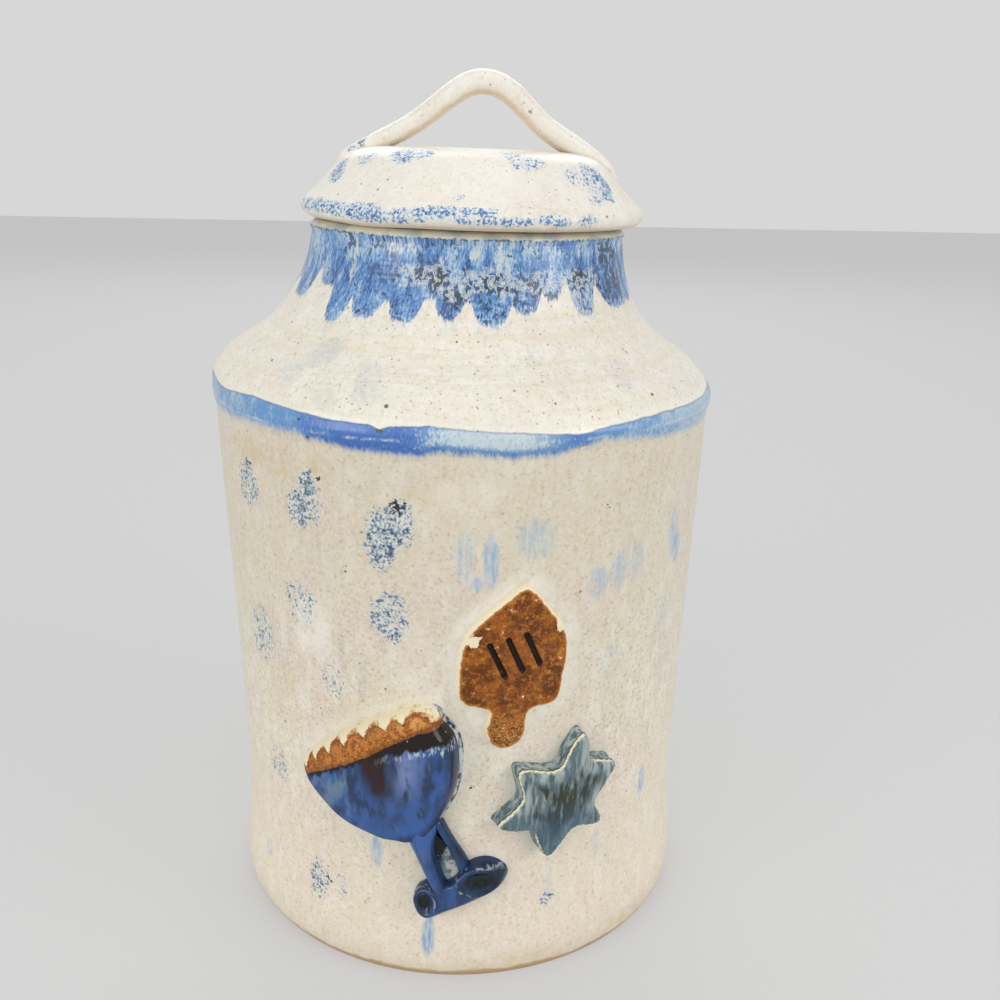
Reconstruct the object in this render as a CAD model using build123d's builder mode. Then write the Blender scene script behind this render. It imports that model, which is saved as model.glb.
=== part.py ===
"""Stoneware biscuit jar with a lift-off lid and clay figures on its front.

Millimetres, +Z up. The origin is on the table, on the jar's axis, and the front faces -Y.
"""

from build123d import *

import os
from math import cos, radians, sin

# Body: a round slab with a tall wall round it, widest at the shoulder
shoulder_r = 94.9
foot_in = 5.4  # how far the foot, the bulge over it and the waist lie inside the shoulder
bulge_in = 3.0
waist_in = 5.6
foot_flare = 0.5  # outward lean of the wall where it leaves the table
bulge_z = 12.0
waist_z = 44.0
body_h = 206.0
wall_t = 6.0
base_t = 8.0

# Shoulder and collar
slope_in = 13.9  # in from the shoulder's edge, halfway up its slope
slope_rise = 18.0
shoulder_h = 34.0
neck_r = 57.6  # at the rim
neck_spread = 7.3  # how much wider the collar is where it springs from the shoulder
neck_h = 25.3
rim_round = 1.8

# Coil of clay worked into the seam between wall and shoulder
band_depth = 5.0
band_h = 8.0
band_proud = 0.7

# Lid: a dome with a loose locating ring under it
seat_in = 0.6  # the flat seat ends this far inside the rim's outside
lid_overhang = 5.7
lid_edge_rise = 5.7  # height of the widest point above the seat
lid_lip_in = 2.1  # middle of the rounded edge under the widest point
lid_lip_rise = 2.4
lid_h = 27.7
lid_t = 6.0
lid_flare = (2.7, 4.2)  # in from the edge and up from its widest point
lid_slope = (9.3, 11.0)
lid_brow = (14.8, 5.0)  # in from the edge and down from the crown
lid_crown = (23.3, 1.3)
lid_top = (43.3, 0.2)
lid_play = 3.6  # room all round between the ring and the collar's bore
lid_shift = 3.0  # how far off the jar's axis the lid has been put down
hollow_round = 14.0
flange_t = 4.5
flange_h = 14.0
flange_round = 1.5

# Handle: a pulled strap whose ends are pressed flat on the dome
handle_w = 14.0
handle_t = 8.6
handle_rise = 23.0  # centre line above the lid's crown
# Points of the arch: across, and down from its top
handle_arch = [(-24.0, 16.3), (-11.2, 6.4), (0.8, 0.0), (12.5, 3.0), (23.8, 13.8)]
tongue_w = 18.0
tongue_t = 5.0
left_tip = (14.3, -6.5)  # in from the lid's edge and up from its crown
left_tongue = (27.3, 1.0)
right_tongue = (24.8, 0.3)
right_tip = (11.8, -8.7)
handle_sections = 13
tongue_spread = 4  # power of the change from strap to tongue, so that it comes near the ends

# Figures: rolled clay cut to an outline and pressed on the wall, azimuths counted from the front
top_azimuth = 11.0
top_z = 127.0
top_t = 2.6
top_corners = [(3.2, 30.4), (19.3, 8.5), (16.6, -14.0), (-9.0, -15.6), (-19.6, -12.0), (-18.8, 7.5)]
top_round = 2.6
top_stem = (-2.3, -22.4)
top_stem_w = 14.8
top_stem_h = 16.8
top_stem_root = 6.8

star_azimuth = 22.0
star_z = 76.0
star_reach = [26.5, 24.8, 23.8, 25.1, 25.1, 21.8]
star_angles = [72.0, 19.0, -39.0, -100.0, -159.0, -220.0]
star_notch_r = 14.5
star_round = 1.8
star_lip = 0.9
star_backing_t = 3.4
star_face_t = 7.0

goblet_azimuth = -19.0
goblet_z = 88.0
goblet_lip = 1.2
goblet_backing_t = 3.0
goblet_root_t = 7.0
goblet_belly_t = 11.0
goblet_rim_t = 8.5
goblet_stem_t = 8.0
goblet_foot_t = 7.0
cup_rim = [(26.4, 23.0), (21.5, 29.4), (5.8, 23.0), (-5.7, 16.7), (-18.3, 9.2), (-24.6, 1.0)]
cup_side = [(-20.1, -12.6), (-7.8, -22.8), (6.0, -27.6), (18.5, -23.5), (28.8, -8.5), (29.6, 6.0)]
scallop_from = (-21.0, 8.6)
scallop_to = (20.0, 29.4)
scallops = 8
scallop_r = 2.1
stem_line = [(18.0, -20.0), (19.7, -32.0), (22.0, -39.0), (26.0, -49.8)]
stem_w = 5.6
strand_line = [(23.0, -19.0), (25.3, -27.5), (29.5, -38.0)]
strand_w = 4.2
foot_centre = (30.3, -45.7)
foot_length = 33.5
foot_width = 16.2
foot_tilt = 26.0

foot_r = shoulder_r - foot_in
bulge_r = shoulder_r - bulge_in
waist_r = shoulder_r - waist_in
slope_r = shoulder_r - slope_in
spring_r = neck_r + neck_spread
neck_z = body_h + shoulder_h
rim_z = neck_z + neck_h
seat_r = neck_r - seat_in
lid_r = neck_r + lid_overhang
bore_r = neck_r - wall_t
flange_r = bore_r - lid_play
hollow_r = flange_r - flange_t
figure_reach = shoulder_r + 2 * goblet_belly_t  # from the jar's axis, past every figure

os.makedirs("parts", exist_ok=True)


def save(piece, name):
    """Label a finished piece and write it to its own file."""
    piece.part.label = name
    export_step(piece.part, f"parts/{name}.step")


def beside(curve, distance):
    """Points that follow a curve at a distance to its left."""
    points = []
    for share in (0, 0.25, 0.5, 0.75, 1):
        along = curve % share
        points.append(curve @ share + Vector(-along.Y, along.X) * distance)
    return points



# ---- Body: the slab lies inside the foot of the wall ----
def wall_side(outwards=0.0):
    """Draw the wall's outside from the table to the shoulder, moved outwards by a distance."""
    foot = Spline(
        (foot_r + outwards, 0),
        (bulge_r + outwards, bulge_z),
        (waist_r + outwards, waist_z),
        tangents=[(foot_flare, 1), (shoulder_r - waist_r, body_h - waist_z)],
    )
    Line(foot @ 1, (shoulder_r + outwards, body_h))


def wall_form(outwards=0.0):
    """Solid form of the jar's body, larger than the real one by a distance all round."""
    with BuildPart() as form:
        with BuildSketch(Plane.XZ):
            with BuildLine():
                wall_side(outwards)
                Polyline((shoulder_r + outwards, body_h), (0, body_h), (0, 0), (foot_r + outwards, 0))
            make_face()
        revolve(axis=Axis.Z)
    return form.part


with BuildPart() as base_slab:
    add(wall_form(-wall_t))
    split(bisect_by=Plane.XY.offset(base_t), keep=Keep.BOTTOM)
save(base_slab, "base_slab")

# Coil worked into the seam, half of its height in the wall and half in the shoulder
with BuildPart() as shoulder_band:
    with BuildSketch(Plane.XZ):
        with Locations((shoulder_r + band_proud - band_depth / 2, body_h)):
            Ellipse(band_depth / 2, band_h / 2)
    revolve(axis=Axis.Z)
save(shoulder_band, "shoulder_band")

with BuildPart() as body_wall:
    with BuildSketch(Plane.XZ):
        with BuildLine():
            wall_side()
            wall_side(-wall_t)
            Line((foot_r - wall_t, 0), (foot_r, 0))
            Line((shoulder_r - wall_t, body_h), (shoulder_r, body_h))
        make_face()
    revolve(axis=Axis.Z)
    add(shoulder_band.part, mode=Mode.SUBTRACT)
save(body_wall, "body_wall")

# ---- Shoulder and collar: one sweeping curve from the wall's top to the rim ----
with BuildPart() as upper:
    with BuildSketch(Plane.XZ):
        with BuildLine():
            outside = Spline(
                (shoulder_r, body_h),
                (slope_r, body_h + slope_rise),
                (spring_r, neck_z),
                (neck_r, rim_z),
                tangents=[(0, 1), (0, 1)],
            )
            inside = Spline(*beside(outside, wall_t), tangents=[(0, 1), (0, 1)])
            Line(outside @ 0, inside @ 0)
            Line(outside @ 1, inside @ 1)
        make_face()
    revolve(axis=Axis.Z)

with BuildPart() as shoulder:
    add(upper.part)
    split(bisect_by=Plane.XY.offset(neck_z), keep=Keep.BOTTOM)
    add(shoulder_band.part, mode=Mode.SUBTRACT)
save(shoulder, "shoulder")

with BuildPart() as neck_collar:
    add(upper.part)
    split(bisect_by=Plane.XY.offset(neck_z), keep=Keep.TOP)
    fillet(neck_collar.edges().group_by(Axis.Z)[-1], radius=rim_round)
save(neck_collar, "neck_collar")

# ---- Lid, resting on the collar's rim ----
lid_side = Plane(origin=(lid_shift, 0, rim_z), x_dir=(1, 0, 0), z_dir=(0, -1, 0))
lid_axis = Axis((lid_shift, 0, rim_z), (0, 0, 1))

with BuildPart() as lid_dome:
    with BuildSketch(lid_side):
        with BuildLine():
            ThreePointArc((seat_r, 0), (lid_r - lid_lip_in, lid_lip_rise), (lid_r, lid_edge_rise))
            Spline(
                (lid_r, lid_edge_rise),
                (lid_r - lid_flare[0], lid_edge_rise + lid_flare[1]),
                (lid_r - lid_slope[0], lid_edge_rise + lid_slope[1]),
                (lid_r - lid_brow[0], lid_h - lid_brow[1]),
                (lid_r - lid_crown[0], lid_h - lid_crown[1]),
                (lid_r - lid_top[0], lid_h - lid_top[1]),
                (0, lid_h),
                tangents=[(0, 1), (-1, 0)],
            )
            Line((0, lid_h), (0, lid_h - lid_t))
            FilletPolyline(
                (0, lid_h - lid_t), (hollow_r, lid_h - lid_t), (hollow_r, 0), radius=hollow_round
            )
            Line((hollow_r, 0), (seat_r, 0))
        make_face()
    revolve(axis=lid_axis)
save(lid_dome, "lid_dome")

with BuildPart() as lid_flange:
    with BuildSketch(lid_side):
        with Locations(((hollow_r + flange_r) / 2, -flange_h / 2)):
            Rectangle(flange_t, flange_h)
    revolve(axis=lid_axis)
    fillet(lid_flange.edges().group_by(Axis.Z)[0], radius=flange_round)
save(lid_flange, "lid_flange")

with BuildPart() as lid_handle:
    with BuildLine(lid_side) as arch:
        Spline(
            (left_tip[0] - lid_r, lid_h + left_tip[1]),
            (left_tongue[0] - lid_r, lid_h + left_tongue[1]),
            *[(across, lid_h + handle_rise - down) for across, down in handle_arch],
            (lid_r - right_tongue[0], lid_h + right_tongue[1]),
            (lid_r - right_tip[0], lid_h + right_tip[1]),
        )
    for station in range(handle_sections):
        share = station / (handle_sections - 1)
        flatness = abs(2 * share - 1) ** tongue_spread
        width = handle_w + (tongue_w - handle_w) * flatness
        thickness = handle_t + (tongue_t - handle_t) * flatness
        with BuildSketch(Plane(origin=arch.line @ share, x_dir=(0, 1, 0), z_dir=arch.line % share)):
            Ellipse(width / 2, thickness / 2)
    loft()
    add(lid_dome.part, mode=Mode.SUBTRACT)
save(lid_handle, "lid_handle")


# ---- Figures on the front ----
def press_on(outline, azimuth, height, cover, *under):
    """Press clay of an outline on the wall: cover bounds its face, and it lies on what is under it."""
    turn = radians(azimuth)
    facing = Plane(
        origin=(0, 0, height), x_dir=(cos(turn), sin(turn), 0), z_dir=(sin(turn), -cos(turn), 0)
    )
    with BuildPart() as figure:
        with BuildSketch(facing):
            add(outline.sketch)
        extrude(amount=figure_reach)
        add(cover, mode=Mode.INTERSECT)
        for layer in under:
            add(layer, mode=Mode.SUBTRACT)
    return figure


body_form = wall_form()

# Spinning top, point up and stem down, in one thin layer
with BuildSketch() as top_outline:
    with BuildLine():
        Polyline(*top_corners, close=True)
    make_face()
    fillet(top_outline.vertices(), radius=top_round)
    with Locations(top_stem):
        Ellipse(top_stem_w / 2, top_stem_h / 2)
    with Locations((top_stem[0], top_stem[1] + top_stem_root)):
        Rectangle(top_stem_w - top_round, top_stem_root)
save(press_on(top_outline, top_azimuth, top_z, wall_form(top_t), body_form), "spinning_top")

# Six-pointed star in two layers, the lower one a little larger
with BuildSketch() as star_outline:
    star_corners = []
    next_angles = star_angles[1:] + [star_angles[0] - 360]
    for reach, angle, next_angle in zip(star_reach, star_angles, next_angles):
        tip_turn = radians(angle)
        notch_turn = radians((angle + next_angle) / 2)
        star_corners.append((reach * cos(tip_turn), reach * sin(tip_turn)))
        star_corners.append((star_notch_r * cos(notch_turn), star_notch_r * sin(notch_turn)))
    with BuildLine():
        Polyline(*star_corners, close=True)
    make_face()
    fillet(star_outline.vertices(), radius=star_round)
with BuildSketch() as star_lower_outline:
    add(star_outline.sketch)
    offset(amount=star_lip)
star_backing = press_on(star_lower_outline, star_azimuth, star_z, wall_form(star_backing_t), body_form)
star_face = press_on(
    star_outline, star_azimuth, star_z, wall_form(star_face_t), body_form, star_backing.part
)
save(star_backing, "star_backing")
save(star_face, "star_face")


# Goblet, tipped over to the left: a backing, then the foot, the bowl and the stem laid on it
def wall_r(height):
    """Outer radius of the wall at a height above its waist."""
    return waist_r + (shoulder_r - waist_r) * (height - waist_z) / (body_h - waist_z)


def strip_outline(points, width):
    """Outline of a narrow strip of clay along a curve."""
    with BuildSketch() as outline:
        with BuildLine():
            middle = Spline(*points, mode=Mode.PRIVATE)
            left = Spline(*beside(middle, width / 2))
            right = Spline(*beside(middle, -width / 2))
            Line(left @ 0, right @ 0)
            Line(left @ 1, right @ 1)
        make_face()
    return outline


with BuildPart() as belly_form:
    with BuildSketch(Plane.XZ):
        with BuildLine():
            root_z = goblet_z + min(y for x, y in cup_side)
            top_z_of_cup = goblet_z + max(y for x, y in cup_rim)
            belly = ThreePointArc(
                (wall_r(root_z) + goblet_root_t, root_z),
                (wall_r(goblet_z) + goblet_belly_t, goblet_z),
                (wall_r(top_z_of_cup) + goblet_rim_t, top_z_of_cup),
            )
            Polyline(belly @ 1, (0, top_z_of_cup), (0, root_z), belly @ 0)
        make_face()
    revolve(axis=Axis.Z)


def draw_cup(outwards=0.0):
    """Draw the goblet's cup, with each point of its outline moved out from the cup's middle."""
    rim = [Vector(*point) + Vector(*point).normalized() * outwards for point in cup_rim]
    side = [Vector(*point) + Vector(*point).normalized() * outwards for point in cup_side]
    Polyline(*rim)
    Spline(rim[-1], *side, rim[0])


with BuildSketch() as foot_outline:
    with Locations(Location(foot_centre, foot_tilt)):
        SlotOverall(foot_length, foot_width)
stem_outline = strip_outline(stem_line, stem_w)
strand_outline = strip_outline(strand_line, strand_w)
with BuildSketch() as backing_outline:
    with BuildLine():
        draw_cup(goblet_lip)
    make_face()
    add(strand_outline.sketch)
    add(foot_outline.sketch)
with BuildSketch() as bowl_outline:
    with BuildLine():
        draw_cup()
    make_face()
    for scallop in range(scallops):
        share = (scallop + 0.5) / scallops
        start, end = Vector(*scallop_from), Vector(*scallop_to)
        with Locations(start + (end - start) * share):
            Circle(scallop_r, mode=Mode.SUBTRACT)

goblet_backing = press_on(
    backing_outline, goblet_azimuth, goblet_z, wall_form(goblet_backing_t), body_form
)
goblet_foot = press_on(
    foot_outline, goblet_azimuth, goblet_z, wall_form(goblet_foot_t), body_form, goblet_backing.part
)
goblet_bowl = press_on(
    bowl_outline, goblet_azimuth, goblet_z, belly_form.part, body_form, goblet_backing.part
)
goblet_stem = press_on(
    stem_outline,
    goblet_azimuth,
    goblet_z,
    wall_form(goblet_stem_t),
    body_form,
    goblet_backing.part,
    goblet_foot.part,
    goblet_bowl.part,
)
save(goblet_backing, "goblet_backing")
save(goblet_foot, "goblet_foot")
save(goblet_bowl, "goblet_bowl")
save(goblet_stem, "goblet_stem")
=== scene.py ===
"""Biscuit jar of glazed stoneware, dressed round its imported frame.

Lengths are millimetres until a mesh is made, in the frame's axes: +Z is up and the front faces -Y.
Azimuths are degrees about the jar's axis, 0 at the front and positive towards +X.
"""

import bpy
import numpy as np
from mathutils import Matrix, Vector


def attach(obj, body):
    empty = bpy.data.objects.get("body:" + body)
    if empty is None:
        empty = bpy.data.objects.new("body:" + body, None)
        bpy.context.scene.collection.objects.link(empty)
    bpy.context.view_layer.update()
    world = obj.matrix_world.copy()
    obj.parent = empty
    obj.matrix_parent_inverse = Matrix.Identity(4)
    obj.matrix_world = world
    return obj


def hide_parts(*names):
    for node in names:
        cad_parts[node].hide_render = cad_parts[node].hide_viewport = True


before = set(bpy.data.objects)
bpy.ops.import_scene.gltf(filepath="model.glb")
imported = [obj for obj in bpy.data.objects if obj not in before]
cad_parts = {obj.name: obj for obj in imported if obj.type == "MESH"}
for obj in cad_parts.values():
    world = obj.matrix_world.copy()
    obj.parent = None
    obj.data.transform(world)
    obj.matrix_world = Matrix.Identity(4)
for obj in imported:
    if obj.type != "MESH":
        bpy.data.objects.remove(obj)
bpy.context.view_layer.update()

# ---- Camera ----
# It stands in front of the jar at the height of the lid and looks down at the wall, turned a little
# to the right and tipped a little.
mm = 0.001
camera_place = np.array([0, -424.9, 294.1])
camera_down = np.radians(17.86)
camera_right = np.radians(2.04)
camera_tip = np.radians(1.16)
camera_lens = 39.6

level_right = np.array([np.cos(camera_right), -np.sin(camera_right), 0])
level_ahead = np.array([np.sin(camera_right), np.cos(camera_right), 0])
ahead = level_ahead * np.cos(camera_down) - [0, 0, np.sin(camera_down)]
level_up = np.cross(level_right, ahead)
camera_x = np.cos(camera_tip) * level_right + np.sin(camera_tip) * level_up
camera_y = np.cos(camera_tip) * level_up - np.sin(camera_tip) * level_right
camera = bpy.data.objects.new("camera", bpy.data.cameras.new("camera"))
bpy.context.scene.collection.objects.link(camera)
camera.data.lens = camera_lens
camera.data.clip_start = 0.01
columns = np.column_stack([camera_x, camera_y, -ahead, camera_place * mm])
camera.matrix_world = Matrix(np.vstack([columns, [0, 0, 0, 1]]).tolist())
bpy.context.scene.camera = camera
bpy.context.scene.view_settings.view_transform = "Standard"

# ---- Floor, world and lamps ----
# A plain pale floor under an even sky, with large soft lamps at both sides, overhead and behind, and
# a weak one in front.
class Value:
    """A node's output. The signs + - * between values, or a value and a number, add Math nodes."""

    def __init__(self, nodes, socket):
        self.nodes = nodes
        self.socket = socket

    def other(self, name):
        """Another output of the same node."""
        return Value(self.nodes, self.socket.node.outputs[name])

    def maths(self, operation, other=0):
        return self.nodes.node("ShaderNodeMath", {"operation": operation}, {0: self, 1: other})

    def __add__(self, other):
        return self.maths("ADD", other)

    def __sub__(self, other):
        return self.maths("SUBTRACT", other)

    def __mul__(self, other):
        return self.maths("MULTIPLY", other)

    def most(self, other):
        return self.maths("MAXIMUM", other)

    def rise(self, low, high):
        """A smooth step from 0 at low to 1 at high, which falls instead where low is the higher."""
        settings = {"interpolation_type": "SMOOTHSTEP"}
        return self.nodes.node("ShaderNodeMapRange", settings, {0: self, 1: low, 2: high})

    def away(self, middle):
        """Distance from a middle value."""
        return (self - middle).maths("ABSOLUTE")

    def near(self, middle, reach):
        """1 at a middle value, falling to 0 a reach away on both sides."""
        return self.away(middle).rise(reach, 0)


class Nodes:
    """A node tree, with one method that adds any node and a few that name the usual ones."""

    def __init__(self, tree):
        self.tree = tree
        tree.nodes.clear()

    def node(self, kind, settings, sockets, output=0):
        """Add a node, set its settings first and then the values or links of its sockets."""
        made = self.tree.nodes.new(kind)
        for name, setting in settings.items():
            setattr(made, name, setting)
        for name, value in sockets.items():
            if isinstance(value, Value):
                self.tree.links.new(value.socket, made.inputs[name])
            else:
                made.inputs[name].default_value = value
        return Value(self, made.outputs[output] if made.outputs else None)

    def lay(self, colour, *coats):
        """Colours laid over the first one in turn, each by its own share from 0 to 1."""
        for share, coat in coats:
            sockets = {0: share, 6: colour, 7: coat}
            colour = self.node("ShaderNodeMix", {"data_type": "RGBA"}, sockets, 2)
        return colour

    def field(self, name, output="Fac"):
        """A value that the mesh carries on its points."""
        return self.node("ShaderNodeAttribute", {"attribute_name": name}, {}, output)

    def parts(self, vector):
        """The three numbers of a vector."""
        first = self.node("ShaderNodeSeparateXYZ", {}, {0: vector})
        return first, first.other("Y"), first.other("Z")

    def scaled(self, vector, factors):
        settings = {"operation": "MULTIPLY"}
        return self.node("ShaderNodeVectorMath", settings, {0: vector, 1: factors})

    def place(self, fall=1):
        """Position in millimetres, drawn together up and down by fall."""
        at = self.node("ShaderNodeTexCoord", {}, {}, "Object")
        return self.scaled(at, (1 / mm, 1 / mm, fall / mm))

    def level(self):
        """Height above the table in millimetres."""
        return self.parts(self.place())[2]

    def noise(self, size, detail=2, fall=1, warp=0, at=None):
        """Cloudy noise about 0.5, with features of a size across and of size / fall up and down."""
        vector = self.scaled(at, (1, 1, fall)) if at else self.place(fall)
        sockets = {"Vector": vector, "Scale": 1 / size, "Detail": detail, "Distortion": warp}
        return self.node("ShaderNodeTexNoise", {}, sockets)

    def sway(self, size, detail=2, fall=1):
        """Noise about 0."""
        return self.noise(size, detail, fall) - 0.5

    def spots(self, cell, size):
        """Round specks, at most one in each cell, of any size up to the radius given."""
        sockets = {"Vector": self.place(), "Scale": 1 / cell}
        distance = self.node("ShaderNodeTexVoronoi", {}, sockets, "Distance")
        chance = self.node("ShaderNodeSeparateColor", {}, {0: distance.other("Color")})
        return (distance - chance * (size / cell)).rise(0, -0.3 * size / cell)


def finish(name):
    """A new material and its nodes."""
    material = bpy.data.materials.new(name)
    material.use_nodes = True
    return material, Nodes(material.node_tree)


def paint(red, green, blue):
    """A colour from its 0 to 255 screen values."""
    share = np.array([red, green, blue]) / 255
    linear = np.where(share < 0.04045, share / 12.92, ((share + 0.055) / 1.055) ** 2.4)
    return (*linear.tolist(), 1)


def surface(nodes, colour, roughness, height, depth, shine=0.5):
    """End a material with one glossy surface, its height map worth a depth in millimetres."""
    bump = nodes.node("ShaderNodeBump", {}, {"Height": height, "Distance": depth * mm})
    sockets = {"Base Color": colour, "Roughness": roughness, "Specular IOR Level": shine, "Normal": bump}
    shader = nodes.node("ShaderNodeBsdfPrincipled", {}, sockets)
    nodes.node("ShaderNodeOutputMaterial", {}, {"Surface": shader})


floor_half = 4
floor_drop = 0.0002
sky_light = 0.54
sky_seen = 0.68
floor_seen = 0.66
floor_glow = 0.62
pure_white = (1, 1, 1, 1)
floor_pale = paint(214, 214, 213)
floor_dark = paint(209, 210, 210)
lamp_aim = Vector((0, 0, 0.16))
lamps = [  # name, place, size, power
    ("front_lamp", (-0.6, -1.25, 1.05), 0.8, 2.6),
    ("left_lamp", (-1.5, -1.2, 0.62), 0.8, 10),
    ("right_lamp", (1.2, -0.7, 0.7), 0.8, 7.5),
    ("top_lamp", (-0.1, -0.3, 1.7), 1.2, 3.6),
    ("back_lamp", (0, 1.7, 1.5), 1.6, 13),
]
for name, place, size, power in lamps:
    lamp = bpy.data.objects.new(name, bpy.data.lights.new(name, "AREA"))
    bpy.context.scene.collection.objects.link(lamp)
    lamp.data.size = size
    lamp.data.energy = power
    lamp.location = place
    lamp.rotation_euler = (lamp_aim - lamp.location).to_track_quat("-Z", "Y").to_euler()

world = bpy.data.worlds.new("studio")
bpy.context.scene.world = world
world.use_nodes = True
sky = Nodes(world.node_tree)
ray = sky.node("ShaderNodeLightPath", {}, {}, "Is Camera Ray")
shown = ray.most(ray.other("Is Glossy Ray")).most(ray.other("Is Transmission Ray"))
strength = shown * (sky_seen - sky_light) + sky_light
light = sky.node("ShaderNodeBackground", {}, {"Color": pure_white, "Strength": strength})
sky.node("ShaderNodeOutputWorld", {}, {"Surface": light})

floor_mesh = bpy.data.meshes.new("floor")
corners = [(x * floor_half, y * floor_half, -floor_drop) for x, y in ((-1, -1), (1, -1), (1, 1), (-1, 1))]
floor_mesh.from_pydata(corners, [], [(0, 1, 2, 3)])
floor = bpy.data.objects.new("floor", floor_mesh)
bpy.context.scene.collection.objects.link(floor)
floor_finish, nodes = finish("pale_floor")
floor_colour = nodes.lay(floor_dark, (nodes.noise(3), floor_pale))
matt = nodes.node("ShaderNodeBsdfDiffuse", {}, {"Color": floor_colour})
glow = nodes.node("ShaderNodeEmission", {}, {"Color": pure_white, "Strength": floor_seen})
seen = nodes.node("ShaderNodeLightPath", {}, {}, "Is Camera Ray")
mixed = nodes.node("ShaderNodeMixShader", {}, {0: seen * floor_glow, 1: matt, 2: glow})
nodes.node("ShaderNodeOutputMaterial", {}, {"Surface": mixed})
floor_mesh.materials.append(floor_finish)

# ---- Body ----
# A round slab with a tall wall of stoneware on it, a little uneven from the hand, widest at the
# shoulder and at the bulge over its foot. It is dipped in a cream satin glaze with iron specks, and
# dabbed with a blue sponge before the second firing. The foot is wiped bare.
wall_side = [
    (89, 0), (90.9, 3), (91.8, 8), (91.9, 12), (91.1, 20), (89.9, 30), (89.3, 44), (90.2, 80), (91.5, 120),
    (92.9, 160), (93.9, 192), (94.4, 206),
]
seam_z = 206
seam_calm = 12  # height over which the wall's waves calm towards the seam
# The wall's slow waves: how many go round, their height, where they start, and their twist.
waves = [(2, 0.16, 0.6, 70), (3, 0.12, -1.1, -45), (5, 0.09, 2, 30)]
wall_t = 6
base_t = 8
foot_edge_in = 1.5  # the underside ends this far inside the foot
inner_round = 5
reach_most = 95.5  # furthest from the jar's middle, sideways and to the front and back
wall_r = 91  # the radius at which a mark's width is measured
front_half = 84  # degrees each side of the front that have the finer columns
front_step = 0.6
back_step = 1.6

cream = paint(226, 218, 197)
rosy = paint(226, 212, 196)
ash = paint(204, 201, 188)
butter = paint(224, 213, 184)
milky = paint(240, 236, 224)
chalk = paint(238, 236, 228)
stone = paint(203, 193, 172)
shell = paint(244, 230, 208)
stain = paint(208, 184, 134)
iron = paint(84, 62, 42)
rust = paint(150, 116, 78)
clay = paint(196, 160, 114)
soot = paint(46, 42, 38)
smoke_blue = paint(158, 172, 188)
sky_blue = paint(148, 182, 212)
run_blue = paint(98, 144, 192)
ink = paint(34, 52, 60)
# Tones of a sponge print where it is thin, where it is full and in its darkest dots.
wall_print = (paint(146, 164, 170), paint(92, 124, 152), paint(42, 62, 84))
lid_print = (paint(146, 176, 204), paint(82, 132, 184), paint(50, 80, 126))
speck_sizes = [(2.3, 0.36), (4.3, 0.5), (8, 0.62)]  # the cell and radius of small to large specks

# Sponge dabs, soft runs of blue, clots of iron, yellow stains and milky thick places. Each mark has
# its azimuth, height, half width, half height and strength.
dabs = [
    (-53, 181, 7, 9, 0.75), (-35.5, 178, 6, 7, 0.9), (-33, 187.5, 3.4, 6, 1), (-31.5, 181, 4, 8, 0.5),
    (-16.5, 172, 5.5, 11, 1), (-12.5, 178, 5, 9, 0.9), (-15, 145, 7, 9, 0.75), (-13.5, 138, 2, 3, 0.9),
    (-37, 143, 8, 9, 0.5), (-52, 124, 9, 12, 0.6), (-29, 117, 6, 8, 0.35), (-49, 71, 6, 8, 0.5),
    (-36, 31, 5, 9, 0.7), (-29, 31, 3, 6, 0.45), (21, 30, 3.4, 3, 0.7), (95, 178, 7, 10, 0.8),
    (118, 150, 7, 10, 0.65), (140, 182, 7, 10, 0.9), (163, 160, 6, 9, 0.65), (185, 176, 7, 11, 0.95),
    (207, 148, 7, 9, 0.6), (228, 182, 7, 9, 0.9), (250, 160, 7, 10, 0.7), (275, 178, 7, 9, 0.85),
    (105, 110, 7, 9, 0.5), (150, 105, 7, 10, 0.5), (195, 112, 7, 9, 0.5), (240, 108, 7, 10, 0.55),
    (120, 60, 6, 8, 0.5), (175, 55, 7, 9, 0.55), (225, 62, 6, 8, 0.6), (270, 50, 6, 9, 0.5),
]
runs = [
    (5.8, 166, 3, 11, 1), (0.5, 168, 4, 10, 0.7), (3, 158, 2.6, 3.4, 0.9), (15, 173, 8, 8, 0.7),
    (30, 154, 5, 7, 0.75), (35.5, 157, 4.4, 9, 0.7), (41, 158, 4.6, 9, 0.6), (55, 163, 4, 12, 0.8),
    (57.5, 156, 4, 7, 1), (60, 177, 5, 12, 0.35), (44, 192, 4, 6, 0.3), (35, 122, 6, 9, 0.5),
    (54, 131, 7, 12, 0.5), (51, 63, 3.2, 7, 0.9), (-56.5, 28, 3.4, 4.5, 0.7), (40, 25, 3, 4, 0.25),
    (-14, 20, 3, 4, 0.3), (14, 17, 3, 5, 0.3), (-19.5, 51, 3, 8, 0.95), (-23, 56, 3, 4, 0.5),
    (-7, 19, 2.6, 10, 1.15), (21.5, 40, 2, 10, 0.6), (34.5, 45, 2.4, 10, 0.5), (23, 194, 3, 9, 0.3),
    (46, 195, 3, 7, 0.3), (57, 195, 5, 9, 0.4), (-61, 197, 6, 7, 0.35), (88, 160, 4, 11, 0.6),
    (110, 193, 5, 8, 0.35), (130, 125, 4, 9, 0.45), (155, 190, 4, 9, 0.35), (170, 130, 4, 10, 0.4),
    (200, 190, 4, 8, 0.35), (215, 120, 4, 9, 0.4), (262, 130, 4, 10, 0.5), (285, 150, 4, 9, 0.4),
]
clots = [
    (-12.8, 183.6, 3.6, 3, 1), (-52, 188, 2.6, 1.6, 0.9), (-33, 188, 1.8, 3, 0.6), (-30, 190, 1, 1, 1),
    (-33, 32, 2.4, 2.2, 0.9), (31, 181, 1.1, 1.1, 1), (-24.5, 160, 0.9, 0.9, 0.9), (-4.8, 60.8, 1.7, 2.6, 1),
    (2.5, 81, 1.2, 0.8, 0.9), (41, 80, 2.5, 4, 0.5), (150, 186, 3, 2, 0.9), (210, 152, 2, 2, 0.8),
]
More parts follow.
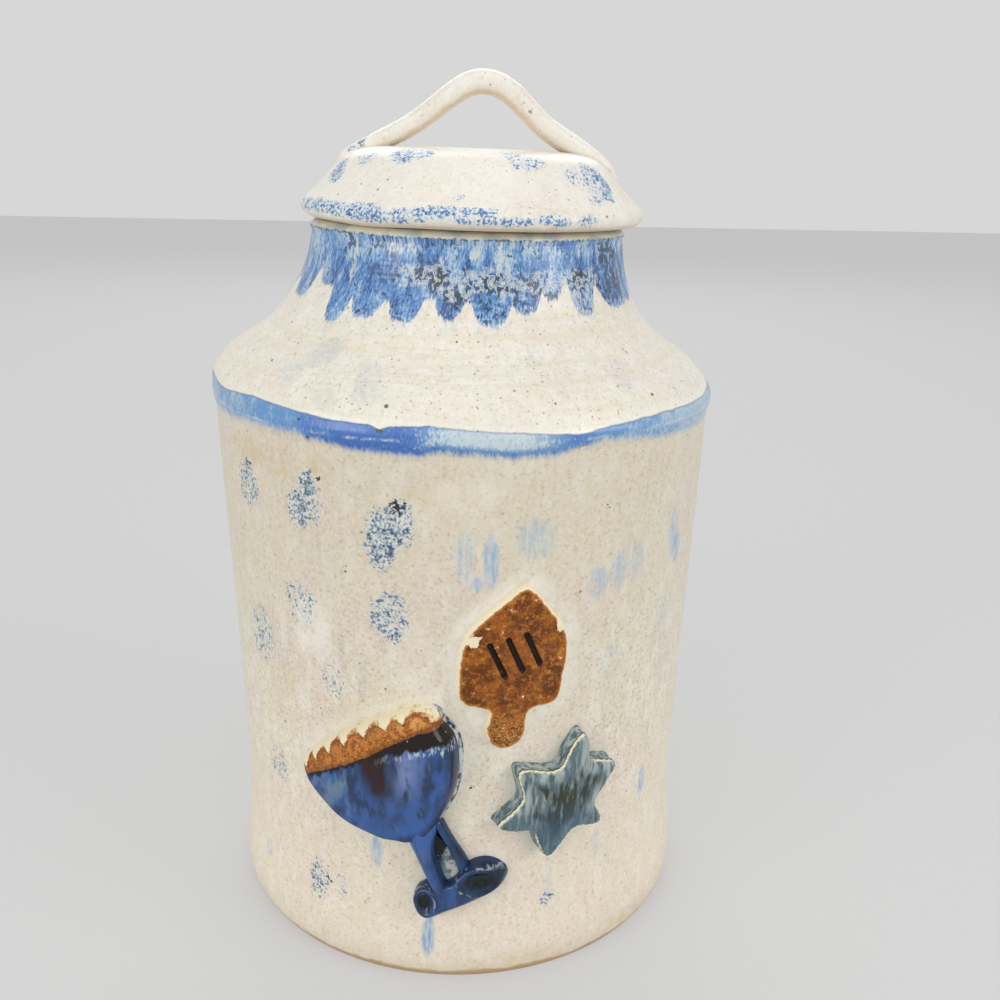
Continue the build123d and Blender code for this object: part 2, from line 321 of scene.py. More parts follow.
stains = [
    (-52, 193, 11, 5, 0.8), (-40, 191, 8, 5, 0.7), (-30, 194, 6, 4, 0.5), (-5, 188, 12, 3, 0.35),
    (15, 6, 26, 5, 0.4), (45, 6, 18, 6, 0.5), (-45, 105, 9, 12, 0.3), (-25, 100, 6, 9, 0.35),
]
thick_places = [(-34, 136, 9, 12, 0.8), (-30, 125, 5, 9, 0.5), (-10, 130, 9, 16, 0.3), (0, 188, 12, 5, 0.4)]

azimuths = np.concatenate(
    [np.arange(-front_half, front_half, front_step), np.arange(front_half, 360 - front_half, back_step)]
)
turns = np.radians(azimuths)


def travelled(line):
    """Distance along a line at each of its points."""
    return np.append(0, np.cumsum(np.linalg.norm(np.diff(line, axis=0), axis=1)))


def curve_through(points, count, closed=False):
    """Points along a smooth curve through the given ones.

    The curve is a cubic spline over the chord length, with free ends or closed on itself: its bends
    at the points solve the linear equations that make the slope run on through each point.
    """
    knots = np.array(points, float)
    if closed:
        knots = np.vstack([knots, knots[:1]])
    along = travelled(knots)
    step = np.diff(along)
    slope = np.diff(knots, axis=0) / step[:, None]
    last = len(knots) - 1
    matrix = np.eye(last + 1)
    change = np.zeros_like(knots)
    inner = np.arange(1, last)
    matrix[inner, inner - 1] = step[:-1]
    matrix[inner, inner] = 2 * (step[:-1] + step[1:])
    matrix[inner, inner + 1] = step[1:]
    change[inner] = 6 * (slope[1:] - slope[:-1])
    if closed:
        matrix[0, last] = -1
        matrix[last, [0, 1, last - 1, last]] = [2 * (step[-1] + step[0]), step[0], step[-1], 0]
        change[last] = 6 * (slope[0] - slope[-1])
    bend = np.linalg.solve(matrix, change)
    at = np.linspace(0, along[-1], count, endpoint=not closed)
    span = np.clip(np.searchsorted(along, at, side="right") - 1, 0, last - 1)
    length = step[span][:, None]
    after = (at - along[span])[:, None] / length
    before = 1 - after
    straight = before * knots[span] + after * knots[span + 1]
    bow = (before**3 - before) * bend[span] + (after**3 - after) * bend[span + 1]
    return straight + bow * length**2 / 6


def spaced(points, count):
    """A line of points laid out again at even distances."""
    along = travelled(points)
    at = np.linspace(0, along[-1], count)
    return np.column_stack([np.interp(at, along, column) for column in points.T])


def over_grid(values):
    """One value for each row, over all the columns round the jar."""
    return np.reshape(values, (-1, 1)) + 0 * azimuths


def uneven(azimuth, height):
    """How far the hand-made wall stands out: slow waves round it, calmer towards the seam."""
    turn = np.radians(azimuth)
    calm = 1 - 0.75 * np.exp(-(((height - seam_z) / seam_calm) ** 2))
    stand = sum(size * np.sin(count * turn + start + height / twist) for count, size, start, twist in waves)
    return calm * stand


def carry(made, ring=False, **fields):
    """Write numbers or vectors on the piece's points, one for each point of its grid."""
    for name, field in fields.items():
        count = field.shape[1]
        flat = field.reshape(field.shape[0] * count, -1)
        if not ring:
            flat = np.vstack([flat[:1], flat[count:-count], flat[-1:]])
        kind, key = ("FLOAT", "value") if flat.shape[1] == 1 else ("FLOAT_VECTOR", "vector")
        layer = made.data.attributes.new(name, kind, "POINT")
        layer.data.foreach_set(key, flat.astype(np.float32).ravel())


def piece(name, grid, body, slot, material, replaced, sharp=50, ring=False, **fields):
    """A closed mesh over a grid of points whose columns close round, with its body and material; slot is not
    used.

    Its first and last row shrink to a pole each, or for a ring the last row joins the first. The
    faces are turned round if the volume that they hold comes out negative. The mesh carries the
    fields, each a number, a number for each row, or a number or vector for each point.
    """
    rows, count = grid.shape[:2]
    points = grid.reshape(-1, 3)
    corner = np.arange(rows * count).reshape(rows, count)
    if not ring:
        points = np.vstack([points[:1], points[count:-count], points[-1:]])
        corner = np.clip(corner - count + 1, 0, len(points) - 1)
    lower, upper = (corner, np.roll(corner, -1, 0)) if ring else (corner[:-1], corner[1:])
    quads = np.stack([lower, np.roll(lower, -1, 1), np.roll(upper, -1, 1), upper], -1).reshape(-1, 4)
    first, second, third, fourth = (points[quads[:, index]] for index in range(4))
    if ((first + third) * np.cross(third - first, fourth - second)).sum() < 0:
        quads = quads[:, ::-1]
    mesh = bpy.data.meshes.new(name)
    mesh.from_pydata((points * mm).tolist(), [], [list(dict.fromkeys(quad)) for quad in quads.tolist()])
    mesh.shade_smooth()
    mesh.set_sharp_from_angle(angle=np.radians(sharp))
    mesh.materials.append(material)
    made = bpy.data.objects.new(name, mesh)
    bpy.context.scene.collection.objects.link(made)
    shapes = {key: (rows, count, *np.shape(field)[2:]) for key, field in fields.items()}
    carry(made, ring, **{key: np.broadcast_to(field, shapes[key]) for key, field in fields.items()})
    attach(made, body)
    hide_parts(*replaced)
    return made


def turned(profile, aside=0):
    """A profile of radius and height carried round the jar's axis, uneven by the hand.

    The unevenness fades towards the axis, and aside moves each row of the profile sideways.
    """
    radius = profile[:, :1]
    height = over_grid(profile[:, 1])
    reach = radius + uneven(azimuths, height) * np.clip(radius / 40, 0, 1)
    x = np.clip(reach * np.sin(turns) + over_grid(aside + 0 * profile[:, 1]), -reach_most, reach_most)
    y = np.clip(-reach * np.cos(turns), -reach_most, reach_most)
    return np.stack([x, y, height], -1)


def apart(azimuth):
    """Degrees from an azimuth to each column, the short way round."""
    return (azimuths - azimuth + 180) % 360 - 180


def marked(height, radius, **tables):
    """A field for each table of marks, over a grid of heights.

    It is the strength of the nearest mark: all of it inside the mark, falling to 0 at 1.3 times its
    size by the smooth step of share * share * (3 - 2 * share).
    """
    fields = {}
    for name, marks in tables.items():
        fields[name] = np.zeros(height.shape)
        for azimuth, middle, half_width, half_height, strength in marks:
            across = np.radians(apart(azimuth)) * radius / half_width
            share = np.clip((1.3 - np.hypot(across, (height - middle) / half_height)) / 0.7, 0, 1)
            fields[name] = np.maximum(fields[name], strength * share * share * (3 - 2 * share))
    return fields


def cream_glaze(nodes, specks=1, white=0):
    """Colour and height of the cream glaze: rosy, ash and butter clouds, faint runs, iron specks.

    white is the share of chalk white in it.
    """
    cloud = nodes.noise(36, 3)
    wisps = nodes.noise(2.6, 3, 0.16).rise(0.46, 0.74) * nodes.noise(24, 2, 0.6).rise(0.45, 0.65)
    mottle = nodes.noise(5, 4, 0.6)
    fine = nodes.noise(1.3, 4)
    small, middling, large = (nodes.spots(cell, size * specks) for cell, size in speck_sizes)
    colour = nodes.lay(
        cream,
        (cloud.rise(0.42, 0.66), rosy),
        (cloud.rise(0.46, 0.3) * 0.45, butter),
        (wisps * 0.85, ash),
        (mottle.rise(0.5, 0.68) * 0.55, milky),
        (mottle.rise(0.48, 0.32) * 0.2, stain),
        (fine.rise(0.52, 0.7) * 0.7, milky),
        (fine.rise(0.46, 0.27) * 0.5, rust),
        (white, chalk),
        (small * 0.65, rust),
        ((middling * 0.55).most(large * 0.9), iron),
    )
    return colour, nodes.noise(9, 1) * 0.8 + fine * 0.2 - large * 0.15


def blue_marks(nodes, colour, tones):
    """Blue sponge dabs of small crisp dots, and soft blue runs, laid over a colour."""
    thin, full, darkest = tones
    dab = nodes.field("dab")
    run = nodes.field("run")
    clot = nodes.field("clot")
    clump = nodes.sway(3.6)
    dots = nodes.noise(1, warp=0.4) + clump * 0.35 + dab * 0.18
    soft = run + nodes.sway(1.2, 4, 0.2) * 2.4
    return nodes.lay(
        colour,
        ((dab + clump).rise(0.1, 1.2) * 0.4, sky_blue),
        (dots.rise(0.62, 0.5) * dab.rise(0.3, 1) * 0.5, milky),
        (dots.rise(0.63, 0.7) * dab.rise(0.05, 0.4) * 0.95, nodes.lay(thin, (dots.rise(0.66, 0.76), full))),
        (dots.rise(0.76, 0.86) * dab.rise(0.3, 0.9) * 0.85, darkest),
        (soft.rise(0, 1.5) * run.rise(0, 0.9) * 0.75, sky_blue),
        (soft.rise(0.8, 1.9) * run.rise(0.2, 1) * 0.8, run_blue),
        ((nodes.noise(1.3) + clot * 0.2).rise(0.68, 0.74) * clot.rise(0.1, 0.4), soot),
    )


wall_outside = curve_through(wall_side, 156)
wall_inside = wall_outside[::-4] - [wall_t, 0]
wall_inside = wall_inside[wall_inside[:, 1] > base_t + inner_round]
under = np.column_stack([np.linspace(0, wall_side[0][0] - foot_edge_in, 10), np.zeros(10)])
bend = np.linspace(0, np.pi / 2, 6)
inner_corner_r = wall_inside[-1, 0] - inner_round * (1 - np.cos(bend))
inner_corner = np.column_stack([inner_corner_r, base_t + inner_round * (1 - np.sin(bend))])
inner_floor = np.column_stack([np.linspace(inner_corner[-1, 0], 0, 9)[1:], np.full(8, base_t)])
wall_profile = np.vstack([under, wall_outside, wall_inside, inner_corner, inner_floor])

band_mist = paint(166, 188, 206)
band_blue = paint(88, 144, 198)
band_cobalt = paint(30, 98, 182)
band_pale = paint(212, 224, 222)
band_line = paint(70, 96, 142)
# Edges, tone and paleness of the blue round the seam, by azimuth, and the dark spots on it.
band_top = [
    (-75, 213.5), (-60, 212), (-48, 213.2), (-38, 212.2), (-25, 210.6), (-17.5, 210.5), (-15.6, 209.3),
    (-13.5, 210.2), (-6, 211.1), (0, 210.2), (10, 209.1), (18, 208.2), (23, 207.6), (30, 209), (45, 210),
    (65, 209.6), (100, 211), (140, 209.3), (175, 211.2), (215, 209.6), (250, 211.6), (285, 213.5),
]
band_foot = [
    (-75, 202), (-58, 203), (-48, 204.3), (-34, 204.2), (-32, 202.3), (-30, 203.4), (-23, 201.4), (-8, 200.9),
    (-5, 202.8), (0, 202), (10, 200.6), (18, 201), (25, 203.2), (29, 204.8), (36, 203.4), (45, 201.2),
    (65, 200), (100, 202.5), (140, 201), (175, 203), (215, 201), (250, 203), (285, 202),
]
band_strength = [
    (-75, 0.15), (-56, 0.3), (-36, 0.5), (-31, 0.85), (-20, 1.05), (-10, 0.95), (-3, 0.45), (10, 0.35),
    (17, 0.45), (21, 0.75), (26, 0.6), (36, 0.35), (50, 0.15), (65, 0.05), (110, 0.5), (150, 0.9), (190, 0.4),
    (230, 0.8), (285, 0.15),
]
band_washed = [(-12, 0), (-2, 0.7), (12, 0.75), (18, 0.35), (22, 0), (180, 0), (195, 0.6), (210, 0), (348, 0)]
band_spots = [
    (-15.8, 208.9, 1.3, 0.8, 1), (-32, 203.6, 0.7, 0.6, 1), (-33.5, 209.2, 0.7, 0.5, 0.9),
    (24, 203.5, 1.6, 0.7, 0.6), (150, 207, 1.4, 0.8, 1), (228, 204, 1.2, 0.8, 0.9),
]


def by_azimuth(pairs):
    """A value for each column that follows pairs of azimuth and value round the jar."""
    return np.interp(azimuths, *zip(*pairs), period=360)


def seam_fields(height):
    """Heights over the blue's two edges, its tone and its paleness; its foot is cobalt in the pale."""
    low = height - by_azimuth(band_foot)
    washed = by_azimuth(band_washed)
    return {
        "over_band": height - by_azimuth(band_top),
        "under_band": low,
        "band_tone": by_azimuth(band_strength) + 0.6 * washed * np.clip(1.6 - low / 1.6, 0, 1),
        "band_pale": washed * np.clip(low / 2 - 0.8, 0, 1),
        **marked(height, wall_r, seam_spot=band_spots),
    }


def seam_blue(nodes, colour):
    """The blue brushed round the seam, laid over a colour, and how much of it is there.

    Its upper edge is crisp with a darker line, its lower edge feathers out in short runs, and its
    tone and paleness are carried by the mesh.
    """
    wander = nodes.sway(5)
    grain = nodes.sway(0.8, 3, 0.5)
    above = nodes.field("over_band") + wander * 0.9
    below = nodes.field("under_band") + wander * 1.6 + nodes.sway(1, 3, 0.22) * 3.6
    share = above.rise(0.3, -0.3) * below.rise(-1.6, 2)
    tone = nodes.field("band_tone") + grain * 1.2 + wander * 0.7
    pale = nodes.field("band_pale") + grain * 1.6 + wander * 0.6
    # A pale line along the coil's crest: the glaze thin there, and a painted highlight.
    crest = (nodes.level() + wander * 2).near(seam_z, 0.9) * grain.rise(-0.15, 0.15)
    halo = nodes.field("over_band").rise(3, 0.3) * above.rise(0, 0.5)
    wash = nodes.lay(
        band_mist,
        (tone.rise(0, 0.5), band_blue),
        (tone.rise(0.5, 1.05), band_cobalt),
        (below.rise(2, -1) * 0.5, band_mist),
        (pale.rise(0.2, 0.8) * 0.8, band_pale),
        (crest * nodes.noise(7).rise(0.42, 0.58) * 0.65, band_pale),
        (above.near(-0.1, 0.7) * 0.5, band_line),
        ((nodes.field("seam_spot") + grain).rise(0.3, 0.6), ink),
    )
    return nodes.lay(colour, (halo * 0.45, milky), (share * 0.95, wash)), share


wall_finish, nodes = finish("wall_glaze")
colour, height = cream_glaze(nodes)
level = nodes.level()
thick = nodes.field("thick").most(nodes.field("halo") * 0.9) * nodes.noise(4, 3).rise(0.25, 0.55)
colour = nodes.lay(
    colour,
    (level.rise(70, 185) * 0.45, stone),
    (level.rise(110, 20) * 0.4, shell),
    (nodes.field("stain") * nodes.noise(2.6, 4).rise(0.34, 0.68), stain),
    (thick * 0.8, milky),
)
colour, share = seam_blue(nodes, blue_marks(nodes, colour, wall_print))
bare = level + nodes.noise(6, 3) * -4
wiped = bare.rise(2.4, 0.4)
colour = nodes.lay(colour, (bare.near(3.6, 3) * 0.35, butter), (wiped * 0.9, clay))
surface(nodes, colour, wiped * 0.35 + 0.36, height, 0.5)

wall_heights = over_grid(wall_profile[:, 1])
outside = np.zeros((len(wall_profile), 1))
outside[len(under) : len(under) + len(wall_outside)] = 1
wall_marks = marked(wall_heights, wall_r, dab=dabs, run=runs, clot=clots, stain=stains, thick=thick_places)
jar_wall = piece(
    "jar_wall", turned(wall_profile), "jar", "jar_glaze", wall_finish, ["body_wall", "base_slab"],
    **{name: outside * field for name, field in wall_marks.items()},
    **seam_fields(np.where(outside > 0, wall_heights, 0)),
)

# ---- Shoulder ----
# The wall's top is closed in to the collar by a steep shoulder, fuller on the left, with fine
# throwing lines. Its bottom edge is luted to the wall.
slope_side = [
    (94.4, 206), (94.6, 208.5), (93.6, 212), (90.9, 216), (86.6, 220), (81, 224), (75.3, 228), (70.9, 232),
    (67.6, 236), (64.9, 240), (62.8, 244), (61, 248), (59.7, 252), (58.7, 256), (58.1, 260), (57.8, 261.6),
    (57.7, 263.1),
]
# How far the shoulder and collar lean sideways, by height.
lean_z = [206, 208.5, 212, 216, 220, 224, 228, 232, 240, 248, 256, 262]
lean_x = [0, -0.3, -1.5, -2.3, -3, -3.2, -2.4, -1.7, -1.1, 0, 0.8, 1.1]
# Faint patches of smoke blue on the shoulder.
smokes = [
    (-35, 228, 7, 5, 0.8), (-40, 222, 5, 4, 0.6), (-19, 221, 5, 6, 0.7), (-28, 216, 4, 4, 0.5),
    (42, 222, 6, 5, 0.5), (20, 230, 4, 5, 0.4), (66, 216, 6, 5, 0.5), (140, 222, 8, 6, 0.7),
    (205, 226, 8, 6, 0.7), (262, 218, 7, 6, 0.6),
]
smoke_r = 80
neck_z = 240
neck_r = 62  # the radius at which the runs of blue on the collar are measured

mid_blue = paint(80, 134, 194)
deep_blue = paint(38, 80, 140)
ice = paint(204, 213, 214)
curd_white = paint(208, 208, 194)
# The bead's colours are toned down and greyed in patches as painted shade under the lid's edge.
shaded_bead_cream = paint(208, 205, 186)
bead_shade_grey = paint(172, 178, 176)

# Tongues of blue that run down from the rim: azimuth, lowest height, half width.
tongues = [
    (-67, 241.5, 8), (-50.5, 246.8, 6.5), (-41.5, 236.3, 4.6), (-30.5, 238.8, 6.2), (-17.5, 238, 5.6),
    (-4, 239, 4.4), (9, 237.6, 6.2), (19.5, 241, 5.4), (28.5, 245, 4.4), (41, 239.2, 5.2),
    (60.5, 240.2, 11.5), (72, 241, 6.5), (86, 240, 7), (100, 238, 6), (113, 242, 7.5), (127, 239, 6.5),
    (140, 241, 7), (154, 237.5, 6.5), (168, 240, 7), (181, 238, 6.5), (195, 241, 7), (208, 239, 6.5),
    (221, 240, 6.5), (234, 238, 7), (247, 241.5, 6.5), (260, 239, 6.5), (273, 240.5, 6.5),
]
tongue_rise = 7
tongue_power = 3.6
# The height that the bare gaps between the tongues reach, by azimuth.
gap_tops = [
    (-75, 247), (-62, 247), (-57, 252), (-52, 248), (-46, 246), (-38, 245.5), (-25, 244), (-10, 245.5),
    (1.5, 244.5), (14, 245.5), (25.5, 249), (30, 247), (36, 251.5), (42, 248.5), (48, 248), (66, 246),
    (110, 246), (150, 248), (190, 245), (230, 248), (285, 247),
]
# Curls of cream ringed with ink, more ink, and thin cream runs and milky places. Two of the last, near
# the rim at azimuths -24 and -18, are a painted reflection of a lamp.
curls = [
    (-19, 252.5, 5, 3.5, 0.9), (-10, 252.5, 7, 4, 1), (-3, 250, 6, 5, 1), (5, 252, 7, 4, 1),
    (13, 251, 8, 4, 0.9), (25, 251, 7, 4, 0.7), (37, 250, 6, 5, 0.9), (45, 250, 5, 5, 0.9),
    (41, 244, 5, 5, 1), (64, 252, 7, 4, 0.1), (120, 251, 12, 4, 0.9), (170, 251, 14, 4, 1),
    (215, 251, 12, 4, 0.9), (262, 251, 10, 4, 0.8),
]
inks = [
    (-14, 253, 6, 2.6, 0.8), (-9, 252, 5, 3.5, 0.9), (-3, 246, 5, 4, 0.9), (8, 250, 8, 4, 0.9),
    (9, 244, 4, 5, 0.6), (58, 257, 8, 5, 1), (60, 249, 10, 8, 1.15), (19, 248, 6, 5, 0.9),
    (27, 248, 4, 4, 0.6), (40, 251, 6, 4, 0.7), (52, 249, 4, 7, 0.7), (63, 253, 8, 3, 1),
    (55, 262, 6, 2.5, 0.7), (-31, 262.5, 4, 2.5, 0.9), (-43, 262, 4, 3, 0.6), (-31, 242, 2.5, 4, 0.4),
    (125, 248, 9, 5, 0.8), (160, 247, 8, 5, 0.8), (210, 248, 9, 5, 0.8), (255, 248, 8, 5, 0.8),
]
milks = [
    (-40, 257, 1.6, 10, 1), (-24, 261.5, 5, 3.2, 0.9), (-18, 261, 4, 3, 0.7), (-8, 258, 1.8, 2, 0.9),
    (2, 260, 2.2, 2.4, 1), (10.6, 259, 1.3, 5.5, 1), (30, 261, 3, 2, 0.6), (40, 261, 2.5, 2.5, 0.8),
    (46.8, 257, 1.2, 8, 0.9), (-55.5, 252, 1.2, 7, 0.8), (-70, 256, 2, 12, 0.6), (67, 250, 1.5, 7, 0.7),
    (-20.5, 255, 5, 1, 0.8), (-20, 250, 4, 1, 0.7), (16, 256.4, 6, 0.8, 0.6), (95, 257, 2, 8, 0.8),
    (147, 256, 2, 9, 0.9), (188, 257, 2, 8, 0.8), (240, 256, 2, 9, 0.8),
]


def collar_fields(height, climb):
    """What the collar's blue needs over a grid of heights, and of distances up the slope.

    Its lowest height is that of the tongues' rounded ends and of the gaps. Its flow is round, round
    and up the slope in millimetres.
    """
    lowest = by_azimuth(gap_tops)
    for azimuth, tip, half_width in tongues:
        end = tip + tongue_rise * np.abs(apart(azimuth) / half_width) ** tongue_power
        lowest = np.minimum(lowest, end)
    around = [neck_r * np.sin(turns) + 0 * climb, neck_r * np.cos(turns) + 0 * climb]
    return {
        "blue_run": height - lowest,
        "flow": np.stack([*around, climb], -1),
        **marked(height, neck_r, curl=curls, ink=inks, milk=milks),
    }


def collar_blue(nodes, colour):
    """The blue that runs down from the rim, laid over a colour, and how much of it is there."""
    flow = nodes.field("flow", "Vector")
    fine = nodes.noise(0.55, 3, 0.4, at=flow)
    streak = nodes.noise(0.9, 3, 0.26, at=flow)
    broad = nodes.noise(4.5, 2, 0.4, at=flow)
    run = nodes.field("blue_run") + (streak - 0.5) * 4 + (broad - 0.5) * 2
    share = run.rise(-0.5, 0.9)
    upper = (nodes.level() + (broad - 0.5) * 8).rise(255, 261)
    depth = fine * 0.2 + streak * 0.35 + broad * 0.45 + upper * 0.06 + 0.02
    gate = nodes.field("curl").rise(0.1, 0.5)
    curd = nodes.noise(1.8, 1.5, 0.85, 0.6, flow) + (fine - 0.5) * 0.16
    dark = curd * -0.75 + streak * 0.25 + nodes.field("ink") * 0.16
    inked = nodes.lay(ink, ((broad * 0.5 + fine * 0.5).rise(0.46, 0.6), deep_blue))
    # Milky places, and near the rim on the front left a painted lamp reflection.
    milk = nodes.field("milk") + (streak - 0.5) * 2.4 + (fine - 0.5) * 1.6
    wash = nodes.lay(
        deep_blue,
        (depth.rise(0.42, 0.52), mid_blue),
        (depth.rise(0.52, 0.6) * 0.85, sky_blue),
        (depth.rise(0.59, 0.66) * 0.6, ice),
        (fine.rise(0.56, 0.72) * 0.35, ice),
        (fine.rise(0.45, 0.3) * 0.5, deep_blue),
        (run.rise(4, 0.5) * fine.rise(0.5, 0.6) * 0.6, ice),
        (dark.rise(-0.17, -0.08) * 0.9, inked),
        (curd.near(0.53, 0.07) * gate * 0.85, curd_white),
        (curd.rise(0.6, 0.68) * gate * 0.9, curd_white),
        (milk.rise(0.4, 1.2) * 0.75, ice),
        (milk.rise(0.8, 1.6) * 0.8, curd_white),
    )
    thin = run.rise(-9, 0) * streak.rise(0.45, 0.72)
    return nodes.lay(colour, (thin * 0.3, smoke_blue), (share * 0.97, wash)), share


def thrown(nodes, colour, height):
    """Throwing lines: noise that hardly changes round the jar, butter yellow in the hollows."""
    rings = nodes.noise(95, 2, 50)
    return nodes.lay(colour, (rings.rise(0.5, 0.36) * 0.35, butter)), height + rings * 0.7


def beside(path, aside):
    """Both coordinates of points to the left of a path, each row square to it by its own distance."""
    along = np.gradient(path[:, :2], axis=0)
    along /= np.linalg.norm(along, axis=1)[:, None]
    return path[:, :1] - along[:, 1:] * aside, path[:, 1:2] + along[:, :1] * aside


def lean(profile):
    """How far the shoulder and collar lean sideways at each height of a profile."""
    return np.interp(profile[:, 1], lean_z, lean_x)


def up_the_slope(profile):
    """Distance up the shoulder's outside at each height of a profile."""
    return over_grid(np.interp(profile[:, 1], slope_outside[:, 1], slope_along))


slope_outside = curve_through(slope_side, 400)
slope_along = travelled(slope_outside)
neck_point = np.array([[np.interp(neck_z, slope_outside[:, 1], slope_outside[:, 0]), neck_z]])
low_side = np.vstack([slope_outside[slope_outside[:, 1] < neck_z - 0.01], neck_point])
high_side = np.vstack([neck_point, slope_outside[slope_outside[:, 1] > neck_z + 0.01]])
low_rows = 58
low_inner_rows = 18
low_inside = spaced(np.hstack(beside(low_side, wall_t)), low_inner_rows)[::-1]
shoulder_profile = np.vstack([spaced(low_side, low_rows), low_inside])
shoulder_heights = over_grid(np.append(shoulder_profile[:low_rows, 1], np.zeros(low_inner_rows)))

shoulder_finish, nodes = finish("shoulder_glaze")
colour, height = thrown(nodes, *cream_glaze(nodes, 1.4, 0.4))
smoke = nodes.field("smoke") + nodes.sway(1.6, 4, 0.5) * 1.4
colour, share = collar_blue(nodes, nodes.lay(colour, (smoke.rise(0, 1.5) * 0.45, smoke_blue)))
colour, share = seam_blue(nodes, colour)
surface(nodes, colour, 0.34, height, 0.5)

piece(
    "jar_shoulder", turned(shoulder_profile, lean(shoulder_profile)), "jar", "jar_glaze", shoulder_finish,
    ["shoulder"], 40, True,
    **marked(shoulder_heights, smoke_r, smoke=smokes),
    **seam_fields(shoulder_heights),
    **collar_fields(shoulder_heights, up_the_slope(shoulder_profile)),
)

# ---- Collar ----
# The collar sweeps up from the shoulder to a rounded rim, with a bead of bare cream under its edge.
# Blue was poured round the rim and ran down in tongues that broke into cream curls and ink.
rim_z = 265.3
tilt = 0.0168  # the rim and the lid on it drop towards the right
lid_shift = 3
bead_side = [
    (57.7, 263.1), (58.4, 264.1), (58.2, 265.2), (57.3, 266.1), (56.2, 266.8), (54.8, 267.2), (53.2, 267),
    (52, 266), (51.7, 264.3), (51.9, 261.9),
]
bead_low = 264.3
bead_high = 265.1
recess_z = 258.5  # the collar's inside ends here, where the bead turns in
high_rows = 44
bead_rows = 10  # of the bead's rows, those that may be blue

collar_inside = spaced(np.hstack(beside(high_side, wall_t)), 16)[::-1]
collar_inside = collar_inside[collar_inside[:, 1] < recess_z]
collar_bead = spaced(curve_through(bead_side, 90), 18)[1:]
collar_profile = np.vstack([spaced(high_side, high_rows), collar_bead, collar_inside])
collar_grid = turned(collar_profile, lean(collar_profile))
climb = np.clip((collar_grid[..., 2] - neck_z) / (rim_z - neck_z), 0, 1)
collar_grid[..., 2] -= tilt * (collar_grid[..., 0] - lid_shift) * climb**2
collar_heights = over_grid(collar_profile[:, 1])
collar_heights[high_rows + bead_rows :] = 0

collar_finish, nodes = finish("collar_glaze")
colour, height = thrown(nodes, *cream_glaze(nodes, 1.4, 0.4))
colour, share = collar_blue(nodes, colour)
up_rim = nodes.field("up_rim") + nodes.sway(1.6) * 1.2
speckled = up_rim.near(bead_low + 0.25, 0.7) * nodes.noise(1.3).rise(0.42, 0.6)
# Painted shade under the lid: the bead's cream toned down, with grey patches.
bead = nodes.lay(shaded_bead_cream, (nodes.noise(9, 3).rise(0.45, 0.65), bead_shade_grey))
colour = nodes.lay(colour, (up_rim.rise(bead_low, bead_high), bead), (speckled * 0.85, ink))
surface(nodes, colour, share * -0.1 + 0.36, height + share * 0.25, 0.4)

piece(
    "jar_collar", collar_grid, "jar", "collar_glaze", collar_finish, ["neck_collar"], 50, True,
    up_rim=collar_profile[:, 1:],
    **collar_fields(collar_heights, up_the_slope(collar_profile)),
)

# ---- Seam coil ----
# A thin coil of clay worked over the seam between wall and shoulder, a low ridge all round, brushed
# with blue.
ridge_low = 200
ridge_high = 211.5
ridge_proud = 0.9
ridge_sunk = 0.15
ridge_depth = 2
ridge_rows = 30
coil_low = 204  # the coil's cream is stone below this and chalk white over the next height
coil_high = 208

whole_side = np.vstack([wall_outside[:-1], slope_outside])


def side_r(height):
    """Radius of the jar's outside at a height."""
    return np.interp(height, whole_side[:, 1], whole_side[:, 0])


ridge_z = np.linspace(ridge_low, ridge_high, ridge_rows)
ridge_share = np.sin(np.linspace(0, np.pi, ridge_rows)) ** 2
ridge_r = side_r(ridge_z) - ridge_sunk + (ridge_proud + ridge_sunk) * ridge_share
ridge_back = np.column_stack([ridge_r - ridge_depth * ridge_share, ridge_z])[-2:0:-3]
ridge_profile = np.vstack([np.column_stack([ridge_r, ridge_z]), ridge_back])

coil_finish, nodes = finish("seam_glaze")
level = nodes.level()
colour, height = cream_glaze(nodes, 1.25, level.rise(coil_low, coil_high) * 0.4)
colour, share = seam_blue(nodes, nodes.lay(colour, (level.rise(coil_high, coil_low) * 0.45, stone)))
surface(nodes, colour, 0.26, height + share * 0.2, 0.4)

piece(
    "seam_coil", turned(ridge_profile, lean(ridge_profile)), "jar", "band_glaze", coil_finish,
    ["shoulder_band"], 40, True, **seam_fields(over_grid(ridge_profile[:, 1])),
)

# ---- Lid ----
# A domed lid with a rolled edge, put down a little off the middle of the rim. It is glazed cream on
# top, dabbed with blue round its edge and high on the dome, and is hollow underneath.
lid_side = [
    (58.6, 2.2), (60.6, 2.7), (62.3, 3.9), (63.2, 5.9), (62.5, 8.2), (59.6, 11), (56.6, 13.8), (54, 16.7),
    (51.5, 19.7), (48.6, 22.7), (44.6, 25.3), (38.5, 26.9), (28, 27.5), (14, 27.7), (0, 27.7),
]
seat_side = [(44.2, 0), (48.6, 0), (49.6, 0.6), (50.2, 2.1), (56, 2.15)]
edge_up = 2.4  # distance up the side at which its profile starts
hollow_side = [(0, 21.7), (24, 21.6), (33, 20), (39.5, 15.5), (43, 8), (43.5, 0.6)]
lid_r = 58  # the radius at which a mark's width is measured
# The lid's edge waves like the wall at height edge_z, edge_turn degrees further on, but more.
edge_wave = 1.6
edge_turn = 40
edge_z = 60
press_azimuth = -38  # where the edge was pressed, how wide, how far in and how far down
press_span = 13
press_in = 0.8
press_down = 0.7
tan_edge = paint(218, 184, 142)

